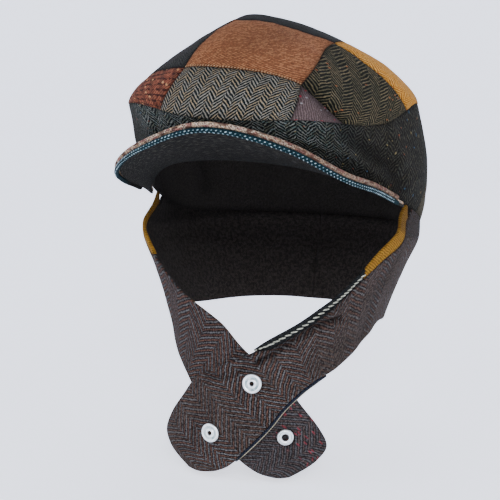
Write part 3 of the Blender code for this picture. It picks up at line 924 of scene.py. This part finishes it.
def rim_mottle(flat, colour, drawn, mottle):
    """The same yarns along the roll, charcoal at its first end and brown near its last."""
    along = flat.parts()[0]
    mixed = pink_mottle(flat, colour, drawn, mottle)
    brown = (along.between(*RIM_BROWNER) * 0.6).blend(mixed, dye(88, 62, 50))
    return along.between(*WRAP_END).blend(dye(30, 30, 29), brown)


def felt_fibres(flat, colour, drawn, mottle):
    """Pale fibres that lie every way in the dark felt."""
    across, along = flat.parts()
    long_way = across.node("CombineXYZ", {}, {0: across * 0.3, 1: along})
    fibres = long_way.noise(0.7, 3.0)
    return (fibres.between(0.50, 0.68) * 0.8).blend(colour, dye(68, 66, 60))


CREAM_TWEED = ((176, 150, 126), (196, 166, 134)), ((246, 234, 212), (224, 190, 150)), 1.3
peak_cover_wool = wool("wool_tweed_cream", *CREAM_TWEED, extra=pink_mottle)
peak_roll_wool = wool("wool_tweed_rim", *CREAM_TWEED, extra=rim_mottle)
felt = wool(
    "felt_charcoal", ((15, 15, 13), (24, 23, 21)), ((34, 33, 30), (24, 23, 21)),
    1.5, lean=0.4, soft=0.5, waver=3.0, fray=0.8, nap=1.1, extra=felt_fibres,
)


def build_peak(name, drop, material, shade):
    """One face of the peak, with painted shade that deepens towards its root."""
    def place(a, b, depth):
        still = ease(b * PEAK_REACH / PEAK_STILL)
        wave = soft_waves(peak_point(a, b, drop), PEAK_WAVES) * still
        return peak_point(a, b, drop + depth - wave)

    piece, flat, area = cloth_panel(name + "_cloth", PEAK_CELLS, place, PEAK_CLOTH,
                                    (material, material), lambda a, b: shade * (1 - b))
    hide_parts(name)


# painted shade towards the peak's root, faint on the cover and deep on the felt underside
build_peak("peak_cover", PEAK_SEAT, peak_cover_wool, 0.3)
build_peak("peak_underside", PEAK_SEAT + PEAK_CLOTH + JOINT_GAP, felt, 1.3)


RIM_START = 0.045
roll_out = ROLL_RADIUS + 2 * JOINT_GAP


def rim_point(share, drop, out):
    """Point outside the rim of the peak, at a drop below its upper face."""
    turn = mix(-PEAK_TURN, PEAK_TURN, share)
    away = outward(turn) + Vector((0, 0, math.tan(math.radians(peak_value("lift", share)))))
    return peak_point(share, 1.0, drop) + away.normalized() * out


def soft_roll(name, drop, material, node):
    """Round roll of cloth along the rim at a drop, closed to a point at both ends."""
    def line(share):
        return rim_point(mix(RIM_START, 1 - RIM_START, share), drop, roll_out)

    steps = [line(k / 100) for k in range(101)]
    length = sum((q - p).length for p, q in zip(steps, steps[1:]))

    def place(a, b):
        here = line(a)
        ahead = (line(min(a + 0.005, 1.0)) - line(max(a - 0.005, 0.0))).normalized()
        out = outward(math.degrees(math.atan2(here.x, -here.y)))
        up = ahead.cross(out).normalized()
        up = up if up.z > 0 else -up
        short = max(0.0, 1 - min(a, 1 - a) * length / (2 * ROLL_RADIUS))
        uneven = 1 + ROLL_UNEVEN * noise.noise(here * ROLL_PACE)
        girth = ROLL_RADIUS * math.sqrt(1 - short ** 2) * uneven
        angle = math.tau * b
        return here + (out * math.cos(angle) + up * math.sin(angle)) * girth

    bm = bmesh.new()
    bm.loops.layers.uv.new("cloth")
    bm.verts.layers.float.new("painted_shade")
    stops = [[k / count for k in range(count + 1)] for count in ROLL_CELLS]
    cloth_layer(bm, stops, place, lambda a, b: (a * length, b * math.tau * ROLL_RADIUS), 0)
    piece = finished(name, bm, [material])
    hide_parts(node)
    return line, length, place


piping_drop = PEAK_SEAT + PEAK_CLOTH / 2 - ROLL_SINK * ROLL_RADIUS
binding_drop = piping_drop + 2 * ROLL_RADIUS + JOINT_GAP
white_yarn = plain_yarn("white_yarn", dye(178, 196, 200), dye(104, 136, 148))


def teal_mottle(flat, colour, drawn, mottle):
    """Teal yarn, with the charcoal felt wrapped round the first end of the rim."""
    return flat.parts()[0].between(*WRAP_END).blend(dye(26, 26, 24), colour)


binding_wool = wool(
    "wool_binding_teal", ((8, 25, 30), (15, 39, 45)), ((26, 57, 64), (12, 33, 39)), 1.2,
    extra=teal_mottle,
)
soft_roll("peak_piping_roll", piping_drop, peak_roll_wool, "peak_piping")
binding_line, binding_length, binding_place = soft_roll(
    "peak_binding_roll", binding_drop, binding_wool, "peak_binding",
)

# two rows of short white ends, each at a share of the way round the roll, with its lean
CHECK_ROWS = ((0.03, 0.45), (-0.13, -0.45))
CHECK_STEP = 3.0 * MM
CHECK_SIZE = Vector((0.88, 0.45, 0.28)) * MM
CHECK_START = 0.15
CHECK_END = 0.97
CHECK_UNEVEN = 0.5
CHECK_PACE = 400
bm = bmesh.new()
checks = round(binding_length / CHECK_STEP)
for row, (angle, lean) in enumerate(CHECK_ROWS):
    for k in range(checks):
        share = (k + 0.25 + 0.5 * row) / checks
        if not CHECK_START < share < CHECK_END:
            continue
        here = binding_place(share, angle % 1.0)
        core = binding_line(share)
        above = (here - core).normalized()
        ahead = binding_line(min(share + 0.004, 1)) - core
        across = above.cross(ahead).normalized()
        size = CHECK_SIZE * (0.85 + CHECK_UNEVEN * noise.noise(here * CHECK_PACE))
        thread_stitch(bm, here, ahead.normalized() + across * lean, above, size)
piece = finished("peak_binding_checks", bm, [white_yarn])


# Cape. Two halves of brown herringbone tweed, 2.6 mm thick, hang from the lower edge of
# the crown over the ears and neck. Each runs out into a long flap with a round end and
# a mustard wool back, and the wearer's left flap lies on the right one.
CAPE_CLOTH = 2.6 * MM
CAPE_SIDE = 107 * MM
CAPE_FRONT = 91 * MM
CAPE_BACK = 116 * MM
CAPE_SETTLE = 30 * MM
CAPE_SEAT = -0.3 * MM
FLAP_DROP = 198 * MM
FLAP_RISE = 9 * MM
FACING_WIDTH = 11 * MM
TWIST_WIDTH = 6.5 * MM
PIPING_WIDTH = 2.6 * MM
SNAP_STACK = 2.4 * MM
SNAP_SEAT = 0.45 * MM
FLAP_LIFT = CAPE_CLOTH + SNAP_STACK + 2 * SNAP_SEAT
BODY_TOP = 0.10
BODY_STEP = 0.126
BODY_SQUARE = 2.3
BODY_COLUMNS = ("side", "front", "back")
BODY = (
    (0.89, 0.92, 0.93),
    (0.96, 0.92, 0.98),
    (1.00, 0.90, 1.00),
    (0.91, 0.89, 0.95),
    (0.82, 0.89, 0.87),
    (0.75, 0.91, 0.80),
    (0.73, 0.96, 0.75),
    (0.77, 0.99, 0.72),
    (0.79, 1.00, 0.70),
    (0.80, 1.00, 0.69),
)
FLAP_COLUMNS = ("face_turn", "face_drop", "hem_turn", "hem_drop")
FLAP = (
    (180, 0.100, 180, 0.525),
    (150, 0.100, 150, 0.520),
    (120, 0.050, 121, 0.510),
    (101, 0.020, 100, 0.490),
    (89, 0.011, 85, 0.475),
    (76, 0.087, 75, 0.495),
    (65.5, 0.130, 67, 0.515),
    (59.5, 0.174, 59, 0.545),
    (52, 0.257, 52, 0.571),
    (43, 0.326, 46, 0.596),
    (29, 0.406, 37, 0.636),
    (13, 0.480, 30, 0.672),
    (1, 0.547, 22, 0.732),
    (-12, 0.596, 16, 0.798),
    (-22, 0.641, 8, 0.874),
    (-29, 0.717, 0, 0.939),
    (-38, 0.813, -8, 0.980),
    (-42, 0.884, -14, 0.995),
    (-37, 0.934, -19, 1.000),
    (-31, 0.965, -24, 0.995),
)
FACE_START = 4.0
MUSTARD_END = 7.5
TWIST_END = 11.5
PIPE_START = 9.5
PIPE_END = 15.0
RISE_START = 7.0
RISE_LENGTH = 8.0
LIFT_TURN = 84.0
LIFT_SPREAD = 36.0
CAPE_CELLS = (300, 60)
CAPE_WAVES = ((1.3, 20), (0.5, 60))
LOWER_WAVES = 0.7
EDGE_STILL = 2 * MM
EDGE_EASE = 18 * MM
SNAP_STILL = 8 * MM
SNAP_EASE = 10 * MM
# reach and fade of the painted shade round each snap
SNAP_SHADE_REACH = 7 * MM
SNAP_SHADE_FADE = 1.2 * MM
# shares of the full width that a strip keeps where it tapers off
MUSTARD_TIP = 0.12
TWIST_TIP = 0.24
PIPING_TIP = 0.35
SNAPS = {"inner": (7.0, 0.636), "end": (-12.0, 0.838), "stud": (22.0, 0.838)}


def body_value(name, height):
    return at_row(BODY, BODY_COLUMNS.index(name), (BODY_TOP - height / FLAP_DROP) / BODY_STEP)


def body_reach(turn, height):
    """Reach of the cape body at a turn in degrees and a height."""
    sine = abs(math.sin(math.radians(turn)))
    cosine = math.cos(math.radians(turn))
    side = body_value("side", height) * CAPE_SIDE
    lengthways = body_value("back", height) * CAPE_BACK
    if cosine > 0:
        lengthways = body_value("front", height) * CAPE_FRONT
    total = (sine / side) ** BODY_SQUARE + (abs(cosine) / lengthways) ** BODY_SQUARE
    return total ** (-1 / BODY_SQUARE)


def body_point(turn, height, lift):
    """Point of the cape body; it leaves the crown edge and settles into its own shape."""
    edge = crown_edge(turn)
    free = ease((edge.z - height) / CAPE_SETTLE)
    reach = mix(math.hypot(edge.x, edge.y), body_reach(turn, height), free)
    point = outward(turn) * (reach + lift)
    point.z = height
    return point


def body_normal(turn, height, lift):
    """Outward direction of the cape body."""
    across = body_point(turn + 1, height, lift) - body_point(turn - 1, height, lift)
    down = body_point(turn, height - MM, lift) - body_point(turn, height + MM, lift)
    normal = across.cross(down).normalized()
    return normal if normal.dot(outward(turn)) > 0 else -normal


@functools.cache
def flap_value(name, station):
    return at_row(FLAP, FLAP_COLUMNS.index(name), station, False)


def flap_point(side, station, share, depth=0.0):
    """Point of one flap: side +1 is the wearer's left and the upper one."""
    rise = 0.0
    if side < 0:
        rise = FLAP_RISE * math.sin(math.pi * ease((station - RISE_START) / RISE_LENGTH)) ** 2
    face = flap_value("face_turn", station)
    face_height = rise - flap_value("face_drop", station) * FLAP_DROP
    below_crown = crown_edge(face).z - CAPE_SEAT
    tucked = below_crown if station < FACE_START else min(face_height, below_crown)
    turn = mix(face, flap_value("hem_turn", station), share)
    height = mix(tucked, -flap_value("hem_drop", station) * FLAP_DROP, share)
    lift = FLAP_LIFT * ease((LIFT_TURN - turn) / LIFT_SPREAD) if side > 0 else 0.0
    point = body_point(turn, height, lift - depth)
    point.x *= side
    return point


def strip_step(side, station):
    """Width of the facing beside the face at a half station."""
    if station < FACE_START:
        return 0.0
    if station <= MUSTARD_END - 0.5:
        return FACING_WIDTH
    if side < 0:
        return MUSTARD_TIP * FACING_WIDTH if station <= MUSTARD_END else 0.0
    if station <= MUSTARD_END:
        return (FACING_WIDTH + TWIST_WIDTH) / 2
    if station < TWIST_END:
        return TWIST_WIDTH
    return TWIST_TIP * TWIST_WIDTH if station <= TWIST_END else 0.0


def pipe_step(side, station):
    """Width of the piping along the hem of the upper flap at a half station."""
    if side < 0 or station < PIPE_START or station > PIPE_END:
        return 0.0
    return PIPING_TIP * PIPING_WIDTH if station in (PIPE_START, PIPE_END) else PIPING_WIDTH


def at_station(step, side, station):
    """Width at any station, straight between the half stations."""
    low = math.floor(station * 2) / 2
    return mix(step(side, low), step(side, low + 0.5), (station - low) * 2)


@functools.cache
def flap_width(side, station):
    return (flap_point(side, station, 0) - flap_point(side, station, 1)).length


snap_centres = []
for key, (turn, drop) in SNAPS.items():
    lift = 0.0 if key == "stud" else FLAP_LIFT
    snap_centres.append(body_point(turn, -drop * FLAP_DROP, lift))

# station and share of each point of a fold of the upper flap, then its width and height
FLAP_FOLDS = (
    (((8.7, 0.34), (9.4, 0.22), (9.9, 0.18), (10.7, 0.20), (11.6, 0.20)),
     2.2 * MM, -4.0 * MM),
    (((11.6, 0.20), (12.6, 0.16), (13.5, 0.08)), 4.0 * MM, -2.0 * MM),
    (((8.9, 0.20), (9.6, 0.12), (10.6, 0.12), (11.6, 0.12)), 3.6 * MM, 2.4 * MM),
    (((9.2, 0.36), (9.8, 0.28), (10.7, 0.30), (11.6, 0.30)), 4.0 * MM, 1.2 * MM),
    (((7.4, 0.60), (8.4, 0.50), (9.8, 0.40)), 6.0 * MM, 1.4 * MM),
    (((5.2, 0.30), (5.8, 0.60), (6.4, 0.90)), 8.0 * MM, -1.5 * MM),
    (((14.4, 0.30), (15.4, 0.40), (16.6, 0.44)), 7.0 * MM, -0.8 * MM),
)
upper_folds = [
    fold_line([flap_point(1, *point) for point in points], width, height)
    for points, width, height in FLAP_FOLDS
]


def flap_lift(side, plain, station, share):
    """How far the hanging cloth stands out from its plain shape, and how deep it lies
    in a crease, under the crown or under the edge of a snap, for the painted shade there."""
    fold = fold_lift(plain, upper_folds) if side > 0 else 0.0
    lift, snap_shade = soft_waves(plain, CAPE_WAVES) + fold, 0.0
    for centre in snap_centres:
        away = (plain - centre).length
        lift *= ease((away - SNAP_STILL) / SNAP_EASE)
        # painted shade round the edge of each snap, full out to the cap's rim and fading beyond it
        snap_shade = max(snap_shade, math.exp(-max(0.0, away - SNAP_SHADE_REACH) / SNAP_SHADE_FADE))
    below = crown_edge(mix(180, 0, min(station / 12, 1))).z - plain.z
    lift *= ease((below - EDGE_STILL) / EDGE_EASE) * (1.0 if side > 0 else LOWER_WAVES)
    # painted shade under the crown's lower edge, spreading twice as far as at a seam, in the
    # creases and round the snaps
    return lift, min(1.0, max(hollow_depth(max(below, 0.0) / 2, fold), 0.5 * snap_shade))


# millimetres along a half of the cape where its neck ends, where the mustard wool
# behind its flap begins and where the grey end of the lower flap begins
NECK_END = (262.0, 312.0)
MUSTARD_BACK = (262.0, 270.0)
GREY_END = (330.0, 352.0)


def cape_yarns(flat, colour, drawn, mottle):
    """Tweed felted by rubbing round the neck and in patches, where the lines fade."""
    neck = 1 - flat.parts()[0].between(*NECK_END)
    felted = flat.noise(0.03).between(0.42, 0.64) * 0.4 + neck * 0.35
    return felted.blend(colour, mottle.between(0.35, 0.65).blend(dye(46, 40, 37), dye(66, 57, 51)))


BROWN_TWEED = {
    "pitch": 1.7, "column": 14.0, "line": 0.48, "soft": 0.3, "alternate": True, "waver": 0.6,
    "fray": 0.35, "nap": 0.9, "speckle": 0.75, "relief": 0.4,
}
MUSTARD_TWILL = {"pitch": 1.5, "lean": 1.2, "line": 0.48, "relief": 0.3}
MUSTARDS = ((98, 68, 20), (116, 82, 26)), ((166, 124, 44), (150, 106, 36))
cape_wool = wool(
    "wool_herringbone_brown", ((30, 26, 25), (44, 37, 35)), ((98, 98, 98), (92, 66, 56)),
    extra=cape_yarns, **BROWN_TWEED,
)


def end_yarns(flat, colour, drawn, mottle):
    """Grey end of the lower flap, with short red dashes near its tip."""
    along, across = flat.parts()
    tip = along.between(*GREY_END)
    near_face = 1 - across.between(-8.0, 2.0)
    grey = (drawn * 0.6).blend(dye(42, 40, 40), dye(84, 82, 84))
    short = along.node("CombineXYZ", {}, {0: along * 0.6, 1: across * 1.5})
    marks, chosen = short.spots(0.22)
    dashes = (1 - marks.between(0.16, 0.26)) * (chosen > 0.55) * tip * near_face
    return (dashes * 0.7).blend((tip * 0.6).blend(colour, grey), dye(128, 50, 58))


lower_wool = wool(
    "wool_herringbone_lower", ((30, 26, 25), (43, 37, 35)), ((92, 92, 93), (92, 65, 55)),
    extra=end_yarns, **BROWN_TWEED,
)
mustard_wool = wool("wool_twill_mustard", *MUSTARDS, **MUSTARD_TWILL)


def back_yarns(flat, colour, drawn, mottle):
    """Plain dark back of the cape, with mustard wool behind the ends of the flaps."""
    plain = mottle.between(0.35, 0.65).blend(dye(40, 37, 35), dye(54, 49, 46))
    return flat.parts()[0].between(*MUSTARD_BACK).blend(plain, colour)


cape_back_wool = wool("wool_cape_back", *MUSTARDS, **MUSTARD_TWILL, extra=back_yarns)


def build_flap(name, side, material):
    """One half of the cape, with its flat size and its area."""
    @functools.cache
    def laid(a, b):
        station = a * (len(FLAP) - 1)
        width = flap_width(side, station)
        strip = at_station(strip_step, side, station)
        pipe = at_station(pipe_step, side, station)
        low = (strip + SEAM_GAP) / width if strip else 0.0
        high = 1 - (pipe + SEAM_GAP) / width if pipe else 1.0
        share = mix(low, high, b)
        plain = flap_point(side, station, share)
        return station, share, *flap_lift(side, plain, station, share)

    def place(a, b, depth):
        station, share, lift, _ = laid(a, b)
        return flap_point(side, station, share, depth - lift)

    def painted_shade(a, b):
        station, _, _, shade = laid(a, b)
        # painted shade along the seam with the facing
        if at_station(strip_step, side, station):
            shade = max(shade, hollow_depth(b * flap_width(side, station), 0.0))
        return shade

    piece, flat, area = cloth_panel(name + "_cloth", CAPE_CELLS, place, CAPE_CLOTH,
                                    (material, cape_back_wool), painted_shade, strip=True)
    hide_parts(name)
    return piece, flat, area


cape_left = build_flap("cape_left", 1, cape_wool)
cape_right = build_flap("cape_right", -1, lower_wool)


# Facings. The mustard back of the cape comes forward as a strip 11 mm wide beside the
# face. Below it on the left flap runs a black strip 6.5 mm wide, overcast with thick
# white yarn, and the hem of that flap has a narrow navy piping with a cream edge.
FACING_CELLS = (120, 20)
ENDS_EASED = 0.01
black_wool = wool(
    "wool_black_strip", ((20, 22, 22), (28, 30, 30)), ((36, 38, 38), (44, 46, 46)), 1.0,
)


def cream_edge(flat, colour, drawn, mottle):
    """Cream edge of the piping, with cross threads."""
    along, across = flat.parts()
    edge = 1 - across.between(-0.75, -0.45)
    ticks = ((along / 1.9).math("FRACT") > 0.45) * 0.5
    return edge.blend(colour, ticks.blend(dye(196, 186, 156), dye(104, 98, 84)))


navy_wool = wool(
    "wool_piping_navy", ((21, 25, 34), (29, 34, 45)), ((62, 68, 84), (46, 52, 68)),
    1.5, column=1.6, extra=cream_edge,
)


def build_facing(name, side, start, end, step, from_hem, cloth, slot):
    """Facing around the edge beside the face, or around the hem."""
    @functools.cache
    def laid(a, b):
        station = mix(start, end, a)
        strip = at_station(step, side, station) if start < station < end else step(side, station)
        share = strip / flap_width(side, station) * b
        share = 1 - share if from_hem else share
        near = min(a, 1 - a)
        if near < ENDS_EASED:
            inward = 0.25 if a < 0.5 else -0.25
            here = flap_point(side, station, share)
            stretch = (here - flap_point(side, station + inward, share)).length
            station += inward * JOINT_GAP / stretch * (1 - near / ENDS_EASED)
        plain = flap_point(side, station, share)
        return station, share, *flap_lift(side, plain, station, share)

    def place(a, b, depth):
        station, share, lift, _ = laid(a, b)
        return flap_point(side, station, share, depth - lift)

    def painted_shade(a, b):
        # painted shade along the facing's seam, added to the flap's own
        strip = at_station(step, side, min(max(mix(start, end, a), start + 0.01), end - 0.01))
        return max(laid(a, b)[3], hollow_depth((1 - b) * strip, 0.0))

    piece, flat, _ = cloth_panel(name + "_cloth", FACING_CELLS, place, CAPE_CLOTH, (cloth, cloth),
                                 painted_shade, strip=True)
    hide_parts(name)
    return piece, place, flat[1]


BESIDE_FACE = (FACE_START, MUSTARD_END, strip_step, False, mustard_wool, "facing_mustard")
mustard_left, _, _ = build_facing("facing_mustard_left", 1, *BESIDE_FACE)
mustard_right, _, _ = build_facing("facing_mustard_right", -1, *BESIDE_FACE)
twist_left, twist_place, twist_length = build_facing(
    "facing_twist_left", 1, MUSTARD_END, TWIST_END, strip_step, False, black_wool, "facing_twist",
)
piping_left, _, _ = build_facing(
    "hem_piping_left", 1, PIPE_START, PIPE_END, pipe_step, True, navy_wool, "piping_navy",
)

OVERCAST_STEP = 4.2 * MM
OVERCAST_WAY = Vector((0.90, 0.32, 0.22))
OVERCAST_LIFT = 0.15 * MM
OVERCAST_SPAN = (0.08, 0.92)
OVERCAST_LONG = 1.05
OVERCAST_WIDE = 0.6 * MM
OVERCAST_HIGH = 0.45 * MM


def twist_way(first, last):
    return twist_place(*last, 0) - twist_place(*first, 0)


bm = bmesh.new()
bars = round(twist_length / OVERCAST_STEP)
for k in range(bars):
    share = (k + 0.5) / bars
    here = twist_place(share, 0.5, -OVERCAST_LIFT)
    ahead = twist_way((max(share - 0.01, 0), 0.5), (min(share + 0.01, 1), 0.5)).normalized()
    above = ahead.cross(twist_way((share, 0.1), (share, 0.9)).normalized())
    above = above if above.dot(here) > 0 else -above
    reach = twist_way(*((share, side) for side in OVERCAST_SPAN)).length / 2
    size = Vector((OVERCAST_LONG * reach, OVERCAST_WIDE, OVERCAST_HIGH))
    thread_stitch(bm, here, OVERCAST_WAY, above, size)
cream_yarn = plain_yarn("cream_yarn", dye(212, 212, 192), dye(150, 150, 136))
twist_bars = finished("facing_twist_yarn", bm, [cream_yarn])

for (cape, flat, area), strips in (
    (cape_left, [mustard_left, twist_left, piping_left]), (cape_right, [mustard_right]),
):
    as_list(strips)


# Snap fasteners. Two pressed nickel caps 14 mm across, with a step round an open middle,
# hold the upper flap; one stud shows on the lower flap. The parts behind the cloth and
# between the flaps are plain discs.
CAP_RADIUS = 7.2 * MM
CAP_HOLE = 1.7 * MM
CAP_HEIGHT = 1.6 * MM
STUD_RADIUS = 6.2 * MM
STUD_HOLE = 2.6 * MM
STUD_HEIGHT = 2.0 * MM
RING_SIDES = 72
CAP_STEPS = (
    (0.00, 0.00), (0.97, 0.00), (1.00, 0.16), (0.99, 0.38), (0.94, 0.62), (0.86, 0.78),
    (0.78, 0.84), (0.70, 0.80), (0.64, 0.62), (0.58, 0.54), (0.40, 0.54), (0.34, 0.62),
    (0.29, 0.88), (0.22, 0.99), (0.12, 1.00), (0.04, 0.93), (0.00, 0.75),
)
# wall shares of the groove that takes the painted shade
GROOVE = (0.36, 0.62)
BLOOM = (0.66, 0.70, 0.70, 1.0)
STUD_STEPS = (
    (0.00, 0.00), (0.95, 0.00), (1.00, 0.18), (0.97, 0.42), (0.85, 0.72), (0.66, 0.92),
    (0.45, 1.00), (0.25, 0.99), (0.10, 0.90), (0.02, 0.78), (0.00, 0.60),
)


def nickel(name, tint, rough):
    """Nickel plate with a duller, rougher bloom in places."""
    material, tree, shader = new_material(name, {"Metallic": 1.0})
    bloom = Shade(tree).node("TexCoord", out=3).noise(260.0, 3.0, dimensions="3D")
    colour = bloom.between(0.3, 0.7).blend(tint, BLOOM)
    tree.links.new(colour.socket, shader.inputs["Base Color"])
    tree.links.new((bloom * 0.18 + rough).socket, shader.inputs["Roughness"])
    return material


bright_nickel = nickel("bright_nickel", (0.87, 0.90, 0.89, 1.0), 0.30)
# dark teal painted shade for the groove round the open middle of each cap
groove_painted_shade = nickel("groove_painted_shade", (0.18, 0.27, 0.27, 1.0), 0.45)
dull_nickel = nickel("dull_nickel", (0.51, 0.53, 0.51, 1.0), 0.40)


def snap_ring(key, lift, steps, radius, hole, height, node):
    """Pressed ring turned from its steps, each a share of its wall and of its height."""
    turn, drop = SNAPS[key]
    centre = body_point(turn, -drop * FLAP_DROP, lift)
    normal = body_normal(turn, -drop * FLAP_DROP, lift)
    bm = bmesh.new()
    ring = [bm.verts.new((mix(hole, radius, wall), 0, height * up)) for wall, up in steps]
    loop = [bm.edges.new((ring[k], ring[(k + 1) % len(ring)])) for k in range(len(ring))]
    bmesh.ops.spin(bm, geom=ring + loop, cent=(0, 0, 0), axis=(0, 0, 1), angle=math.tau,
                   steps=RING_SIDES, use_merge=True)
    for face in bm.faces:
        middle = face.calc_center_median()
        wall = (math.hypot(middle.x, middle.y) - hole) / (radius - hole)
        # faces on the upper side of the groove take the painted shade
        face.material_index = int(GROOVE[0] < wall < GROOVE[1] and middle.z > 0)
    upright = Vector((0, 0, 1)).rotation_difference(normal).to_matrix().to_4x4()
    seated = Matrix.Translation(centre + normal * JOINT_GAP) @ upright
    bmesh.ops.transform(bm, matrix=seated, verts=bm.verts)
    piece = finished("snap_ring_" + key, bm, [bright_nickel, groove_painted_shade])
    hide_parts(node)


for key in ("inner", "end"):
    snap_ring(key, FLAP_LIFT, CAP_STEPS, CAP_RADIUS, CAP_HOLE, CAP_HEIGHT, "snap_cap_" + key)
snap_ring("stud", 0.0, STUD_STEPS, STUD_RADIUS, STUD_HOLE, STUD_HEIGHT, "snap_stud")
for name in ("snap_mated", "snap_socket_end", "snap_back_inner", "snap_back_stud"):
    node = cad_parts[name]
    node.data.materials.clear()
    node.data.materials.append(dull_nickel)
